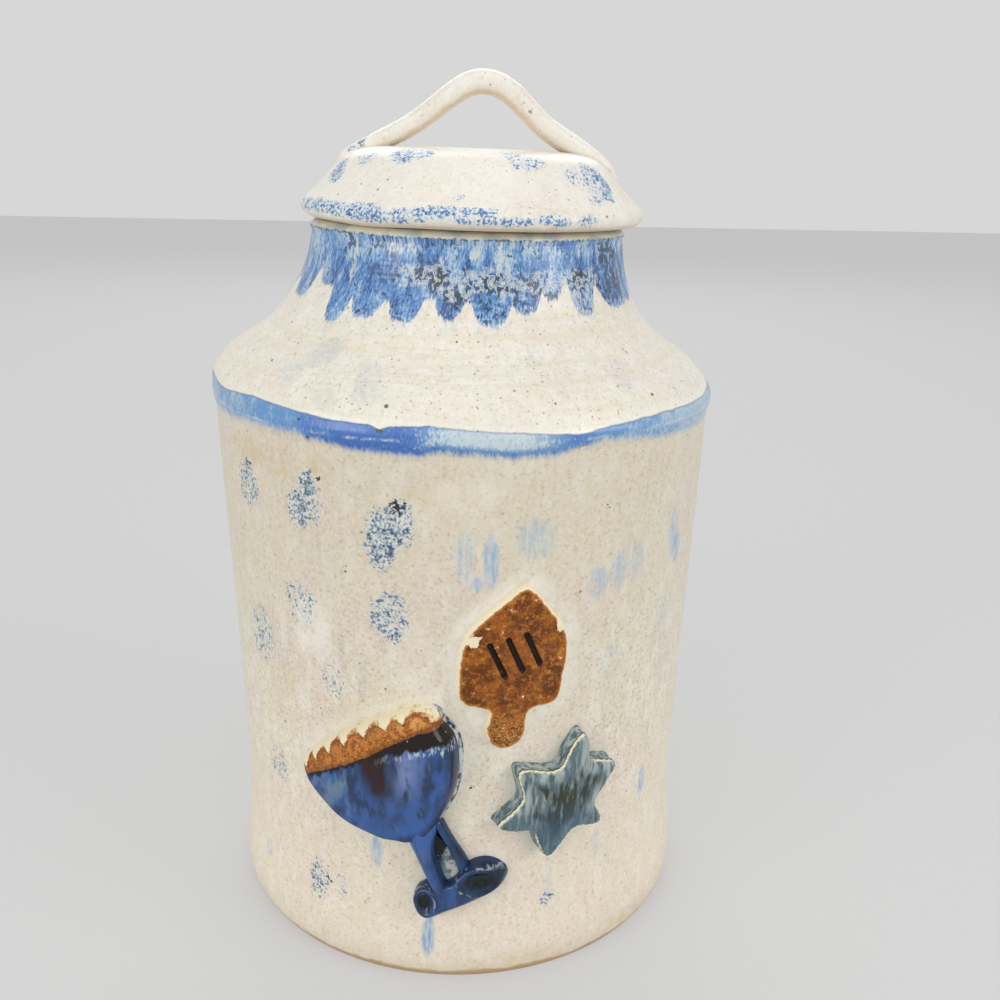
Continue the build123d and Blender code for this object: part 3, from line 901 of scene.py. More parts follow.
# Dabs on the lid: azimuth, distance up its side from the seat, half width, half distance, strength.
lid_dabs = [
    (-74, 10, 6, 2.6, 0.6), (-66, 10.2, 6, 2.6, 0.85), (-58, 10.6, 6, 3.2, 0.95), (-50, 10.2, 5, 2.8, 0.95),
    (-45, 10, 3.4, 2.6, 0.9), (-39, 10, 4.4, 3, 1), (-33, 9.6, 5, 3.6, 1), (-29, 9, 2.6, 3, 0.8),
    (-22, 9.2, 5, 2.6, 1), (-17, 10, 4, 2.8, 1), (-11, 11, 5, 2.8, 1), (-5, 11.3, 5, 2.2, 1),
    (1, 11.2, 5, 2, 0.9), (5, 11.4, 2.4, 2.6, 0.8), (-3, 8.2, 3.2, 1.5, 0.95), (1, 8, 3, 1.5, 0.95),
    (5, 8.4, 2.4, 1.4, 0.8), (11, 8.4, 4, 1.7, 0.95), (15, 8.4, 2.8, 1.4, 0.85), (20, 9.2, 5, 1.6, 0.6),
    (27, 8.4, 3.4, 1.8, 0.95), (25, 9.8, 4, 1.6, 0.5), (36.5, 9, 4.4, 2.6, 0.7), (-66, 27, 5, 5, 0.95),
    (-62, 24, 5, 4, 0.95), (-50, 32, 7, 4, 0.45), (-31, 35.5, 7, 5, 1), (-23, 36.5, 5.4, 3.6, 1),
    (-33, 38.5, 5, 3.4, 0.8), (20, 34, 8, 5, 0.66), (27, 33.5, 4, 3, 0.6), (16, 38, 6, 3.6, 0.6),
    (57, 25, 4.5, 6.5, 1), (52, 26, 7, 8, 0.75), (44, 27, 8, 5, 0.5), (46, 18, 4.5, 3.5, 0.65),
    (54, 19, 4, 3, 0.95), (-5, 18, 2, 1.6, 0.6), (92, 10, 12, 2.6, 0.9), (118, 10, 10, 3, 0.95),
    (143, 9.6, 9, 2.4, 0.8), (168, 10.4, 12, 2.8, 0.95), (196, 9.8, 11, 2.6, 0.85),
    (222, 10.2, 12, 2.8, 0.95), (250, 10, 12, 2.8, 0.9), (273, 10, 8, 2.6, 0.7), (120, 30, 8, 6, 0.8),
    (170, 33, 8, 5, 0.85), (225, 29, 8, 6, 0.85),
]
lid_clots = [(7, 21, 0.6, 0.6, 0.7), (-35, 19, 0.7, 0.7, 0.7)]

lid_outside = spaced(curve_through(lid_side, 400), 100)
lid_inside = spaced(curve_through(hollow_side, 120), 26)
lid_profile = np.vstack([lid_inside, seat_side, lid_outside])
lid_up = travelled(lid_outside)[1:] + edge_up
lid_ups = over_grid(np.append(np.zeros(len(lid_profile) - len(lid_up)), lid_up))


def lid_turned(profile):
    """A profile carried round the lid's own axis, tilted with the rim, its edge waved and pressed."""
    radius = profile[:, :1]
    height = over_grid(profile[:, 1])
    pressed = np.clip((radius - 48) / 12, 0, 1) * np.exp(-((apart(press_azimuth) / press_span) ** 2))
    wave = edge_wave * uneven(azimuths + edge_turn, edge_z) * np.clip((radius - 20) / 40, 0, 1)
    reach = radius + wave - press_in * pressed
    grid = np.stack([reach * np.sin(turns) + lid_shift, -reach * np.cos(turns), height + rim_z], -1)
    grid[..., 2] -= tilt * (grid[..., 0] - lid_shift) + press_down * pressed * np.clip(2 - height / 6, 0, 1)
    return grid


lid_finish, nodes = finish("lid_glaze")
colour, height = cream_glaze(nodes, 1.1, nodes.noise(30).rise(0.3, 0.6) * 0.35 + 0.3)
edge = nodes.field("lid_edge") + nodes.sway(4) * 3
colour = blue_marks(nodes, nodes.lay(colour, (edge.rise(7.6, 5) * 0.55, tan_edge)), lid_print)
surface(nodes, colour, 0.33, height, 0.45)

lid_marks = marked(lid_ups, lid_r, dab=lid_dabs, clot=lid_clots)
lid_marks["dab"] *= lid_ups > 0
piece(
    "domed_lid", lid_turned(lid_profile), "lid", "lid_glaze", lid_finish, ["lid_dome"],
    lid_edge=lid_ups, run=0, **lid_marks,
)

# ---- Locating ring ----
# A thick ring of bare sandy clay, luted under the lid before the firing. It stands down into the
# jar's mouth and keeps the lid on it.
ring_side = [
    (43.5, 0.3), (43.5, -6), (43.6, -12.6), (44.6, -13.9), (46.2, -13.9), (47.6, -12.6), (48, -6), (48, 0.3),
]
sandy = paint(214, 190, 154)

ring_finish, nodes = finish("bare_clay")
sand = nodes.noise(2, 3).rise(0.35, 0.7)
colour = nodes.lay(clay, (sand, sandy), (nodes.spots(2.6, 0.4) * 0.7, iron))
surface(nodes, colour, 0.75, nodes.noise(0.8, 3), 0.12)

ring_grid = lid_turned(spaced(np.array(ring_side), 44))
piece("locating_ring", ring_grid, "lid", "bare_clay", ring_finish, ["lid_flange"], ring=True)

# ---- Handle ----
# A strap pulled from clay, arched over the dome, with both ends flattened by thumb into tongues. Its
# cream turns tan in a band along each lower side.
strap_line = [  # across, up, thickness, width
    (-47, 285, 2.6, 12), (-44, 289.2, 4.2, 17), (-38, 292.4, 5.6, 18), (-31, 295.3, 7, 16),
    (-22, 299.6, 7.6, 14.2), (-13, 305.6, 7.8, 13.8), (-5, 311.6, 8.2, 14), (4, 315.9, 8.7, 14),
    (13, 314.3, 8.6, 14), (20.5, 308.6, 8.2, 14), (28, 301.4, 8.1, 14.2), (36, 296.2, 8.2, 15),
    (44, 292, 6.6, 17), (51, 287.4, 5, 18), (55, 282.6, 2.8, 12),
]
strap_stations = 170
strap_columns = 64
section_power = 0.8  # 1 is an ellipse, less is fuller
dot_x = 22.9
dot_z = 306.2
dot_r = 1.5
print_x = -38.5
print_y = -7

strap = curve_through(strap_line, strap_stations)
strap_turn = np.linspace(0, 2 * np.pi, strap_columns, endpoint=False)
section = np.stack([np.cos(strap_turn), np.sin(strap_turn)])
strap_across, strap_up = np.sign(section) * np.abs(section) ** section_power / 2
x, z = beside(strap, strap[:, 2:3] * strap_up)
wobble = 0.25 * np.sin(strap[:, :1] / 6) + 0.15 * np.sin(strap[:, :1] / 2.7 + 1)
strap_rows = np.stack([x, strap[:, 3:] * strap_across + wobble, z], -1)
caps = [np.broadcast_to(row.mean(0), row.shape)[None] for row in strap_rows[[0, -1]]]
strap_grid = np.vstack([caps[0], strap_rows, caps[1]])
x, y, z = np.moveaxis(strap_grid, -1, 0)
strap_dot = 0.55 * np.exp(-((np.hypot(x - dot_x, z - dot_z) / dot_r) ** 2)) * (y < 0)
strap_print = 0.7 * np.exp(-(((x - print_x) / 4.4) ** 4) - ((y - print_y) / 4) ** 4)
strap_low = np.clip(-np.sin(strap_turn - 0.15), 0, 1) * np.where(np.cos(strap_turn) > 0, 0.8, 1)

strap_finish, nodes = finish("handle_glaze")
colour, height = cream_glaze(nodes, 1.1, nodes.noise(14).rise(0.3, 0.6) * 0.4 + 0.3)
lower_side_tan = (nodes.field("strap_low") + nodes.sway(3) * 0.7).near(0.66, 0.5)
colour = blue_marks(nodes, nodes.lay(colour, (lower_side_tan * 0.6, tan_edge)), wall_print)
surface(nodes, colour, 0.33, height, 0.45)

piece(
    "strap_handle", strap_grid, "lid", "lid_glaze", strap_finish, ["lid_handle"], 180,
    strap_low=strap_low[None], dab=np.maximum(strap_dot, strap_print), run=0, clot=0,
)


# ---- Spinning top ----
# Rolled clay cut to the outline of a spinning top and pressed on the wall in one thin layer, brushed
# with dry iron brown inside a cream edge. Three short grooves are scored in its face.
def laid_on(azimuth, middle_z, across, up, proud):
    """Points of a figure on the wall, from its own across and up and how far each stands proud.

    The figure is carried straight back along its own facing direction to the wall's round.
    """
    turn = np.radians(azimuth)
    height = middle_z + up
    own = azimuth + np.degrees(np.arcsin(across / side_r(height)))
    reach = side_r(height) + uneven(own, height) + proud
    depth = np.sqrt(reach**2 - across**2)
    x = across * np.cos(turn) + depth * np.sin(turn)
    y = across * np.sin(turn) - depth * np.cos(turn)
    return np.stack([x, y, height], -1)


def edge_distance(across, up, outline):
    """Distance from each point to a closed outline, the least of those to its straight sides."""
    least = np.full(across.shape, 1e9)
    for start, side in zip(outline, np.roll(outline, -1, 0) - outline):
        share = ((across - start[0]) * side[0] + (up - start[1]) * side[1]) / (side @ side)
        share = np.clip(share, 0, 1)
        gap = np.hypot(across - start[0] - share * side[0], up - start[1] - share * side[1])
        least = np.minimum(least, gap)
    return least


def relief(outline, middle, rings, front, base=-0.8):
    """Grid of a figure: its back, its side and its face, as rings that shrink to the middle.

    front gives how far the face stands proud from across, up and the distance to the edge. Returns
    the grid's across, up, proud and edge distance.
    """
    back_rings = 4
    side_rows = 4
    shares = [np.linspace(0, 1, back_rings + 1), np.ones(side_rows - 1), 1 - np.linspace(0, 1, rings) ** 1.25]
    points = np.array(middle) + (outline - middle) * np.concatenate(shares)[:, None, None]
    across, up = points[..., 0], points[..., 1]
    distance = edge_distance(across, up, outline)
    level = front(across, up, distance)
    first = back_rings + side_rows
    proud = np.full(across.shape, base)
    proud[first:] = level[first:]
    climb = np.linspace(0, 1, side_rows + 1)[1:-1, None]
    proud[back_rings + 1 : first] = base + (level[first] - base) * climb
    return across, up, proud, distance


def rounded(distance, radius, height):
    """Height of a rounded edge: a quarter ellipse that is level past the radius."""
    reach = np.clip(distance / radius, 0, 1)
    return height * np.sqrt(1 - (1 - reach) ** 2)


def figure(name, azimuth, middle_z, shape, slot, material, node, **fields):
    """A figure's piece, which also carries its across, up and edge distance, and how proud it is."""
    across, up, proud, distance = shape
    grid = laid_on(azimuth, middle_z, across, up, proud)
    fields["figure"] = np.stack([across, up, distance], -1)
    piece(name, grid, "jar", slot, material, [node], 55, proud=proud, **fields)


top_azimuth = 11
top_z = 127
top_t = 2.6
top_edge_t = 0.5
top_outline = [
    (3.2, 30.4), (8.8, 25.9), (13.8, 19.1), (18.1, 12.5), (19, 7.8), (18.7, 0.5), (17.7, -5.7), (16.6, -12.1),
    (14.9, -14.1), (9.6, -15.1), (5.9, -16.4), (5.1, -21.9), (4.4, -25.7), (1.9, -28.7), (-1.5, -30.3),
    (-5.3, -29.9), (-8.3, -27.3), (-9.5, -22.9), (-8.9, -18.7), (-8.4, -16.2), (-12.7, -13.9), (-16.3, -12.9),
    (-18.8, -10.2), (-19.3, -5.1), (-19, 3.1), (-17.5, 10.3), (-16, 13.8), (-12.1, 18.6), (-7.5, 22.8),
    (-1.6, 27.7),
]
grooves = [((-8.6, 9.6), (-3.2, -2.2)), ((-2.4, 11.4), (2.8, -0.4)), ((3.8, 12.8), (8.8, 1.6))]
groove_w = 1.9
groove_depth = 1.3
brown = paint(152, 86, 28)
ochre = paint(190, 118, 44)
umber = paint(92, 44, 12)
straw = paint(238, 227, 194)
gold = paint(222, 172, 98)
pitch = paint(30, 20, 16)

top_edge = curve_through(top_outline, 240, closed=True)


def groove_share(across, up):
    """1 along the middle of the scored grooves, falling to 0 at their sides."""
    deepest = np.zeros(across.shape)
    for start, end in np.array(grooves):
        distance = edge_distance(across, up, np.array([start, end]))
        deepest = np.maximum(deepest, np.clip(1 - distance / (groove_w / 2 + 0.3), 0, 1))
    return deepest


def top_front(across, up, distance):
    """A thin layer with a rounded edge, scored with the grooves."""
    level = top_edge_t + rounded(distance, 1.3, top_t - top_edge_t)
    return level - groove_depth * np.sqrt(groove_share(across, up))


top_finish, nodes = finish("iron_glaze")
across, up, edge = nodes.parts(nodes.field("figure", "Vector"))
grain = nodes.noise(0.7, 3)
mottle = nodes.noise(1.9, 3)
bright = across.near(13, 9) * up.near(3, 12) * mottle.rise(0.4, 0.6)
groove = nodes.field("groove")
rim = edge + nodes.sway(2, 3) * 1.2
left_blot = across.near(-14.2, 3.6) * up.near(11.5, 3.4)
right_blot = across.near(16, 3.4) * up.near(15.4, 4.6)
blot = left_blot.most(right_blot) + (mottle - 0.5) * 1.6
colour = nodes.lay(
    brown,
    (nodes.noise(7, 3).rise(0.42, 0.58) * 0.85, umber),
    (bright * 0.7, ochre),
    (mottle.rise(0.5, 0.66) * 0.75, ochre),
    (grain.rise(0.56, 0.74) * 0.45, gold),
    (grain.rise(0.46, 0.34) * 0.5, umber),
    (nodes.noise(3.4, 4, warp=0.5).rise(0.5, 0.38) * 0.5, umber),
    (up.rise(-14, -22) * grain.rise(0.4, 0.65) * 0.5, gold),
    (nodes.spots(7, 0.5) * 0.8, straw),
    (groove.rise(0.02, 0.35), pitch),
    (rim.rise(1.9, 1.1) * 0.7, ochre),
    (rim.rise(1.15, 0.6), straw),
    (blot.rise(0.28, 0.42), straw),
)
surface(nodes, colour, groove.rise(0.5, 0) * 0.3 + 0.14, grain * 0.6 + mottle * 0.4, 0.35, 0.25)

shape = relief(top_edge, (0, -1), 60, top_front)
scored = groove_share(shape[0], shape[1]) * (shape[2] > 0)
figure("top_figure", top_azimuth, top_z, shape, "iron_glaze", top_finish, "spinning_top", groove=scored)

# ---- Star ----
# A six-pointed star cut from two layers of clay under a streaked grey and sea-green glaze. The upper
# layer's torn edges are cream towards the upper left, partly glaze broken on the tear and partly painted
# light on that side, over a painted shadow line in the gap between the layers.
star_azimuth = 22
star_z = 76
star_backing_t = 5
star_face_t = 7
star_lift = 0.3  # the face's edge starts this far over the backing
star_count = 320
star_outline = [
    (-24.1, -8.8), (-13.8, 0.6), (-17.1, 14.2), (-3.9, 11.1), (0.2, 11.4), (1.1, 16.9), (7.5, 25.3),
    (10.1, 20.7), (10.3, 12.3), (21.6, 9.1), (23.4, 6.6), (14.7, -3.5), (13.6, -7.7), (17.9, -13.4),
    (17.7, -16.1), (4.8, -13.6), (-1.7, -22.8), (-5.1, -24.7), (-7.7, -20), (-9.7, -11.8), (-22.2, -10.3),
]
sea = paint(92, 114, 118)
fog = paint(168, 180, 178)
olive = paint(44, 48, 36)
slate = paint(62, 92, 112)
midnight = paint(30, 42, 60)


def cut_outline(points, rounding, count):
    """An outline with straight sides, its corners rounded by a running mean along it."""
    corners = np.array(points, float)
    closed = np.vstack([corners, corners[:1]])
    line = spaced(closed, count + 1)[:-1]
    reach = int(rounding * count / travelled(closed)[-1])
    weights = np.hanning(2 * reach + 3)[1:-1]
    weights /= weights.sum()
    wrapped = np.vstack([line[-reach:], line, line[:reach]])
    return np.column_stack([np.convolve(column, weights, mode="valid") for column in wrapped.T])


def facing(outline):
    """Which way each point of an outline faces, as the across and up of a unit vector."""
    along = np.roll(outline, -1, 0) - np.roll(outline, 1, 0)
    out = np.column_stack([along[:, 1], -along[:, 0]]) / np.linalg.norm(along, axis=1)[:, None]
    area = (outline[:, 0] * along[:, 1] - outline[:, 1] * along[:, 0]).sum()
    return out * np.sign(area)


def cushion(radius, top, foot=0):
    """A front for relief that climbs from its foot to its top by a rounded edge."""
    return lambda across, up, distance: foot + rounded(distance, radius, top - foot)


star_edge = cut_outline(star_outline, 5.6, star_count)
star_step = np.arange(star_count)
star_ripple = 0.12 * np.sin(star_step * 1.3) + 0.15 * np.sin(star_step * 0.31 + 1)
star_torn = star_edge + facing(star_edge) * star_ripple[:, None]

star_finish, nodes = finish("star_glaze")
across, up, edge = nodes.parts(nodes.field("figure", "Vector"))
proud = nodes.field("proud")
torn = nodes.field("torn")
streak = nodes.noise(2.2, 3, 0.2)
broad = nodes.noise(8, 2, 0.45)
inner = edge.rise(1, 7)
dark = streak * 0.5 + nodes.noise(1.3, 3, 0.2) * 0.4 + broad * 0.4 + inner * 0.12
rim = edge + nodes.sway(1)
# Cream lip on the face's torn edge: partly glaze broken on the tear, partly painted light on the upper-left
# side.
lip = proud.rise(star_face_t - 1.9, star_face_t - 1.5) * rim.rise(0.5, 0.1)
# Dark line at the foot of the face's edge: a painted shadow in the gap between the layers.
crack_shadow = proud.near(star_backing_t + 0.1, 0.5) * edge.rise(0.5, 0)
colour = nodes.lay(
    sea,
    (streak.rise(0.42, 0.68), fog),
    (dark.rise(0.7, 0.82) * inner * 0.95, olive),
    (edge.rise(5, 0.6) * streak.rise(0.38, 0.56) * 0.65, fog),
    ((up + (broad - 0.5) * 16).rise(1, -14) * 0.7, slate),
    (nodes.noise(1.1, 2, 0.2).rise(0.44, 0.3) * 0.4, midnight),
    (lip * torn, straw),
    (crack_shadow * torn, pitch),
)
surface(nodes, colour, 0.18, streak * 0.5 + nodes.noise(1.4) * 0.5, 0.35, 0.3)

low_shape = relief(star_edge * 1.01 + [-0.2, 0.3], (0, 0), 36, cushion(2.4, star_backing_t))
star_front = cushion(1.8, star_face_t, star_backing_t + star_lift)
high_shape = relief(star_torn, (0, 0), 50, star_front, star_backing_t - 1.4)
# The edges that face the upper left take the painted light and the painted shadow line.
lit_upper_left = np.clip(facing(star_edge) @ [-0.7, 0.75] * 1.6 + 0.2, 0, 1)[None]
for name, shape, node, torn in (
    ("star_low_layer", low_shape, "star_backing", 0),
    ("star_high_layer", high_shape, "star_face", lit_upper_left),
):
    figure(name, star_azimuth, star_z, shape, "star_glaze", star_finish, node, torn=torn)

# ---- Goblet ----
# A goblet tipped over to the left: a thin backing, a full bowl with a crimped rim, a rolled stem and
# strand, and an oval foot over their ends. The rim is iron brown and cream, the rest runny cobalt.
goblet_azimuth = -19
goblet_z = 88
backing_t = 3
rim_t = 8.2
belly_t = 10.8
root_t = 7.2
bowl_outline = [
    (24.8, 20.8), (22.3, 24.6), (18, 26), (12.4, 24.6), (6.2, 21.5), (-1.3, 17.6), (-9.2, 12.8), (-16.6, 7.8),
    (-22.5, 3), (-25.8, -1), (-26.4, -4), (-25, -7.6), (-22.7, -10.5), (-18.5, -14.8), (-13.5, -19.9),
    (-7.5, -23.9), (-1.6, -26.2), (4, -27.7), (8.6, -27.6), (13.6, -26.3), (19.3, -23.8), (22.7, -19.6),
    (25.6, -14.3), (28.1, -8.1), (29.6, -1), (30, 5.9), (29.3, 12.8), (27.4, 17.6),
]
# Height of the line between the brown rim and the blue, by across.
waterline = [
    (-24, -5.6), (-14.9, -1.2), (-6.7, 3), (0, 6.8), (6.5, 11.1), (12.7, 15), (18.7, 18.3), (25, 20.2),
]
square_to_rim = 0.87  # the waterline slants, so a height over it is this much further than it is away
crimp_from = np.array([-26, -1])
crimp_to = np.array([20, 26])
crimps = [2.2, 7.8, 14.3, 21.8, 30.6, 39.3, 46]  # where each finger of cream stands, from the left end
crimp_half = 4.3
crimp_least = 0.7
crimp_reach = 3
stem_line = [  # across, up, level of its top, half width
    (17.2, -18, 6, 6.6), (17.4, -24, 7.4, 5.4), (18.6, -31, 7.7, 3.4), (20.8, -38, 7.6, 2.7),
    (23, -44, 7.4, 2.4), (25.2, -49.5, 6.6, 2), (26.4, -53, 5.8, 1.5),
]
strand_line = [
    (22.4, -19, 4.6, 1.5), (25.4, -26, 4.4, 1.3), (28.2, -31.5, 4.4, 1.3), (30.7, -36.7, 5, 1.6),
    (31.6, -39.6, 5.6, 2),
]
foot_outline = [
    (13.9, -50.5), (15.3, -47.6), (18.2, -45.8), (22.6, -45), (27, -43.2), (30.7, -39.4), (34.8, -36.6),
    (38.9, -36.4), (42.6, -38.6), (44.9, -42), (44.5, -46.2), (41.5, -49.4), (36.7, -52.1), (30.9, -55),
    (25, -57.7), (20.6, -59.6), (17, -58.6), (14.7, -55.5),
]
foot_t = 6.4
# Middles and half sizes of the foot's two hollows.
lobes = [((18.8, -52), (3.4, 4.8)), ((37.8, -43.2), (6.4, 4.4))]
# A pool of glaze lies between the stem and the strand.
pool_outline = [
    (20, -24), (23.5, -26), (26.8, -31), (29.4, -36.5), (30.6, -41), (27.5, -45), (23.5, -44), (21.4, -38),
    (19.4, -31), (18.8, -26.5),
]
pool_t = 2.6
sunk = 0.8  # how deep the strips lie in the wall

violet_sheen = paint(116, 134, 180)
royal = paint(58, 94, 158)
navy = paint(48, 72, 114)
teal = paint(110, 134, 146)
hollow = paint(12, 26, 30)
russet = paint(50, 24, 14)

bowl_edge = curve_through(bowl_outline, 340, closed=True)
foot_edge = curve_through(foot_outline, 220, closed=True)
pool_edge = curve_through(pool_outline, 120, closed=True)
crimp_run = (crimp_to - crimp_from) / np.linalg.norm(crimp_to - crimp_from)


def over_water(across, up):
    """Height over the waterline."""
    return up - np.interp(across, *zip(*waterline))


def lobes_far(across, up):
    """Distance from the middle of each of the foot's hollows, in half sizes of it."""
    return [np.hypot((across - x) / wide, (up - y) / high) for (x, y), (wide, high) in lobes]


def crimped(across, up, distance):
    """How far a point lies inside the cream of the rim, which reaches down in pointed fingers."""
    along = (across - crimp_from[0]) * crimp_run[0] + (up - crimp_from[1]) * crimp_run[1]
    finger = np.zeros(across.shape)
    for place in crimps:
        finger = np.maximum(finger, np.clip(1 - np.abs(along - place) / crimp_half, 0, 1))
    top_side = np.clip((up - 0.55 * across - 10.5) / 3, -9, 0)
    return crimp_least + crimp_reach * finger**3 - distance + top_side


def bowl_front(across, up, distance):
    """The face swells from the rim to the belly and falls to the stem; its rim is crimped."""
    level = np.clip((up - 0.45 * across + 26) / 46, 0, 1)
    swell = root_t + (rim_t - root_t) * level + (belly_t - rim_t) * np.sin(np.pi * level) ** 1.3
    rim = over_water(across, up)
    face = swell - 0.3 * np.exp(-((rim / 1.6) ** 2)) + 0.35 * np.clip(rim / 3, 0, 1)
    fingers = np.clip(crimped(across, up, distance) / 0.8, -1, 1)
    face = face + 0.55 * fingers * np.clip(rim / 2, 0, 1) * np.clip(1.4 - distance / 5, 0, 1)
    at_stem = 5 * np.exp(-(((across - 17.4) / 5) ** 2) - ((up + 28) / 5) ** 2)
    return backing_t + 0.8 + rounded(distance + at_stem, 3, 1) * (face - backing_t - 0.8)


def rolled(line, stations, count):
    """A rolled strip along a line, its section an ellipse that is part sunk in the wall."""
    path = curve_through(line, stations)
    turn = np.linspace(0, 2 * np.pi, count, endpoint=False)
    taper = np.sqrt(np.clip(1 - np.abs(np.linspace(-1, 1, stations)) ** 16, 0, 1))[:, None]
    across, up = beside(path, path[:, 3:] * np.cos(turn) * taper)
    half = (path[:, 2:3] + sunk) / 2
    proud = half - sunk + np.sin(turn) * half * taper
    reach = path[:, 3:] * np.abs(np.sin(turn))
    return tuple(np.concatenate([part[[0]], part, part[[-1]]]) for part in (across, up, proud, reach))


def foot_front(across, up, distance):
    """A rounded oval with a soft rim round each of its two hollows."""
    face = rounded(distance, 3.4, foot_t)
    for far in lobes_far(across, up):
        face = face - 1.8 * np.exp(-2 * far**4) + 0.4 * np.exp(-(((far - 1.2) / 0.25) ** 2))
    return face


goblet_finish, nodes = finish("goblet_glaze")
across, up, edge = nodes.parts(nodes.field("figure", "Vector"))
brim = nodes.field("brim") + nodes.sway(2.6) * 1.4
lobe = nodes.field("lobe")
grain = nodes.noise(0.6, 3)
mottle = nodes.noise(2.4, 3)
streak = nodes.noise(2, 3, 0.2)
broad = nodes.noise(9, 2, 0.5)
soft = nodes.noise(3.4, 3, 0.34)
# Pale violet on the belly's bulge: the glaze paler there, and a painted soft sheen.
belly = (across + (broad - 0.5) * 8).near(14.5, 9.5) * (brim + broad * 6).near(-8, 14)
left = (across + (broad - 0.5) * 14).rise(2, -8)
aside = (across + brim * 0.25 + (soft - 0.5) * 7).away(2.8)
shade = (aside + brim * -0.25).rise(12, 5) * brim.rise(-24, -12)
drop = (aside + brim * -0.22).rise(6.5, 4) * brim.rise(-20, -12)
glint = (lobe + (mottle - 0.5) * 0.5).near(0.3, 0.14) * mottle.rise(0.48, 0.6)
# The pool is black at the top as painted shade in the gap under the bowl, with pooled teal and cream glaze
# lower, the cream partly painted glints.
pooled_glaze_and_shade = nodes.lay(
    hollow,
    ((soft + (up + 36) * -0.02).rise(0.44, 0.62), teal),
    ((mottle + (across - 25) * 0.06).rise(0.5, 0.7) * 0.8, curd_white),
)
iron_rim = nodes.lay(
    brown,
    (mottle.rise(0.42, 0.6), ochre),
    (grain.rise(0.55, 0.72) * 0.6, gold),
    (grain.rise(0.44, 0.34) * 0.6, umber),
    (brim.rise(2.4, 0.6) * 0.4, umber),
)
to_right = across.rise(0, 22)
line_end = brim + to_right * 4.2 + 0.9 + (streak - 0.5) * 5
line = brim.rise(0.5, -0.1) * line_end.rise(-0.9, 0.7)
fringe = line_end.near(-1.2, 1.8) * brim.rise(-0.4, -1.2) * nodes.noise(0.9, 2, 0.3).rise(0.46, 0.6)
golden = across.near(16, 9) * brim.rise(1, 3) * mottle.rise(0.4, 0.6)
crimp = nodes.field("crimp") + (mottle - 0.5) * 2.6 + (grain - 0.5)
rim_only = brim.rise(0.3, 1)
lip = nodes.lay(midnight, ((streak * 0.5 + mottle * 0.5).rise(0.42, 0.56), ice))
colour = nodes.lay(
    navy,
    ((soft * 0.5 + broad * 0.5).rise(0.42, 0.58), royal),
    (belly * soft.rise(0.26, 0.5), violet_sheen),
    ((up + (soft - 0.5) * 12).near(-24, 9) * 0.8, royal),
    (up.rise(-26, -32) * streak.rise(0.54, 0.4) * 0.6, navy),
    (left * soft.rise(0.42, 0.6) * brim.near(-6.5, 9) * 0.85, teal),
    (left * soft.rise(0.5, 0.62) * brim.near(-14, 9) * 0.5, teal),
    (streak.rise(0.58, 0.78) * 0.3, sky_blue),
    (soft.rise(0.45, 0.33) * 0.45, midnight),
    ((edge + (mottle - 0.5) * 2).rise(3.4, 0.4) * 0.75, midnight),
    (shade * 0.6, midnight),
    (drop * 0.9, russet),
    ((lobe + (streak - 0.5) * 1.6).rise(0, 1.1), hollow),
    ((lobe + (mottle - 0.5) * 2).rise(0.9, 1.3) * 0.5, olive),
    (glint * 0.5, ice),
    (nodes.field("pool"), pooled_glaze_and_shade),
    (brim.rise(-0.2, 0.5), iron_rim),
    (line, pitch),
    (fringe * to_right * 0.8, ice),
    # Painted glints on the dark waterline.
    ((nodes.spots(2.2, 0.4) * line).rise(0.3, 0.6) * 0.7, ice),
    (golden * 0.6, gold),
    (crimp.near(-0.5, 0.6) * rim_only * 0.55, umber),
    (crimp.rise(-0.4, 0.3) * rim_only * 0.6, gold),
    (crimp.rise(-0.1, 0.8) * rim_only, straw),
    (nodes.field("lipped") * 0.85, lip),
)
dry = brim.rise(-0.5, 0.5)
surface(nodes, colour, dry * 0.3 + 0.12, mottle * 0.4 + dry * grain * 0.4, 0.3, 0.3)

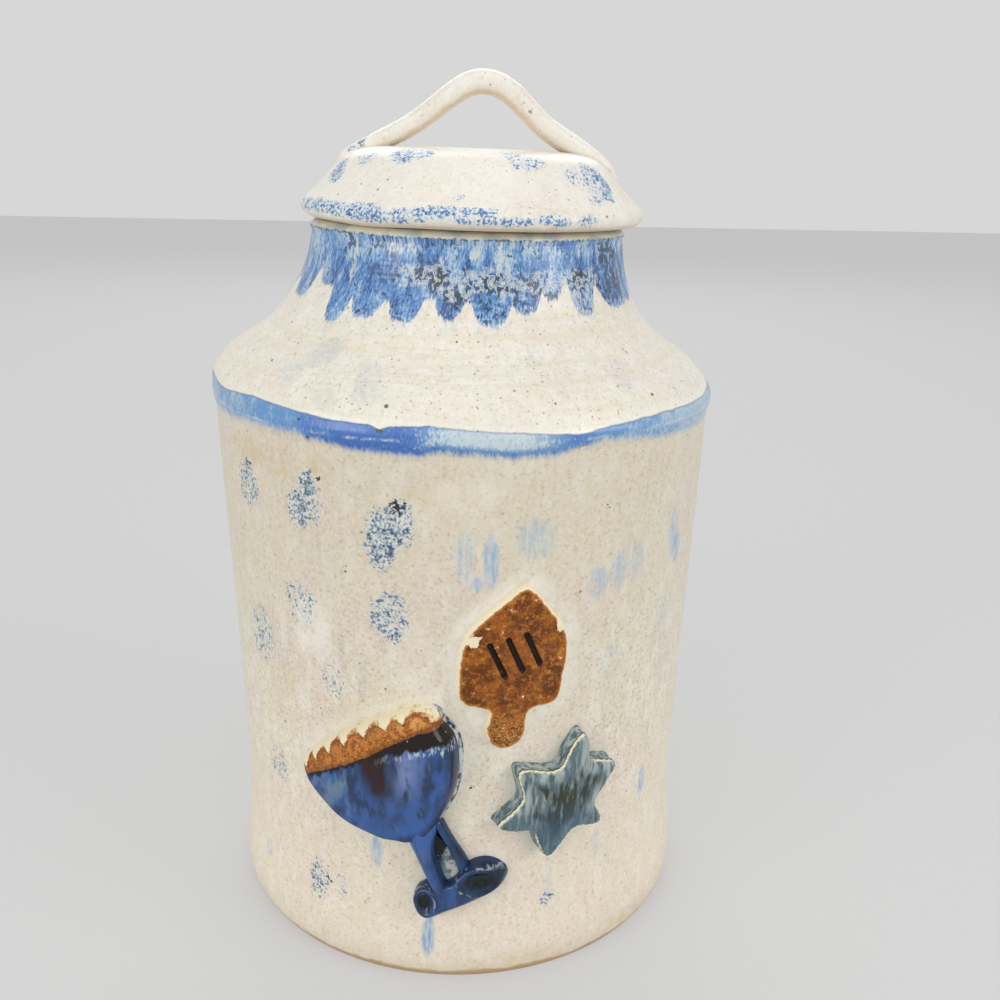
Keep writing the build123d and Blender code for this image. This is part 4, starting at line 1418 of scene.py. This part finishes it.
backing_shape = relief(bowl_edge * 1.01 + [0.4, -0.1], (3, 2), 36, cushion(2, backing_t))
goblet_shapes = [
    ("goblet_low_layer", "goblet_backing", backing_shape),
    ("goblet_cup", "goblet_bowl", relief(bowl_edge, (3, 2), 70, bowl_front, backing_t - 1.2)),
    ("goblet_leg", "goblet_stem", rolled(stem_line, 80, 40)),
    ("goblet_strand", "goblet_stem", rolled(strand_line, 60, 32)),
    ("goblet_pool", "goblet_stem", relief(pool_edge, (24.6, -35), 20, cushion(1.6, pool_t))),
    ("goblet_base", "goblet_foot", relief(foot_edge, (30.3, -45.7), 46, foot_front)),
]
for name, node, shape in goblet_shapes:
    across, up, proud, distance = shape
    fields = {"brim": -20 * square_to_rim, "crimp": -9, "lobe": 0, "lipped": 0, "pool": 0}
    if node in ("goblet_bowl", "goblet_backing"):
        fields["brim"] = over_water(across, up) * square_to_rim
        fields["crimp"] = crimped(across, up, distance)
    if node == "goblet_backing":
        fields["lipped"] = np.clip((across - 16) / 6, 0, 1)
    if name == "goblet_pool":
        fields["pool"] = 1
    if node == "goblet_foot":
        fields["lobe"] = np.clip(1.5 - np.minimum(*lobes_far(across, up)), 0, 1.2)
    figure(name, goblet_azimuth, goblet_z, shape, "goblet_glaze", goblet_finish, node, **fields)

# The wall's glaze is thick and milky close round each figure.
outlines = [
    (top_edge[::4], top_azimuth, top_z, 1), (star_edge[::4], star_azimuth, star_z, 0.6),
    (bowl_edge[::4], goblet_azimuth, goblet_z, 0.8), (foot_edge[::4], goblet_azimuth, goblet_z, 0.6),
]
halo_half = 40  # degrees each side of a figure's middle that its halo may reach
halo = np.zeros(wall_heights.shape)
for outline, azimuth, middle_z, strength in outlines:
    in_front = np.abs(apart(azimuth)) < halo_half
    across = wall_r * np.sin(np.radians(apart(azimuth)[in_front])) + 0 * wall_heights[:, in_front]
    away = edge_distance(across, wall_heights[:, in_front] - middle_z, outline)
    near = strength * np.clip(1.25 - away / 5, 0, 1) * outside
    halo[:, in_front] = np.maximum(halo[:, in_front], near)
carry(jar_wall, halo=halo)
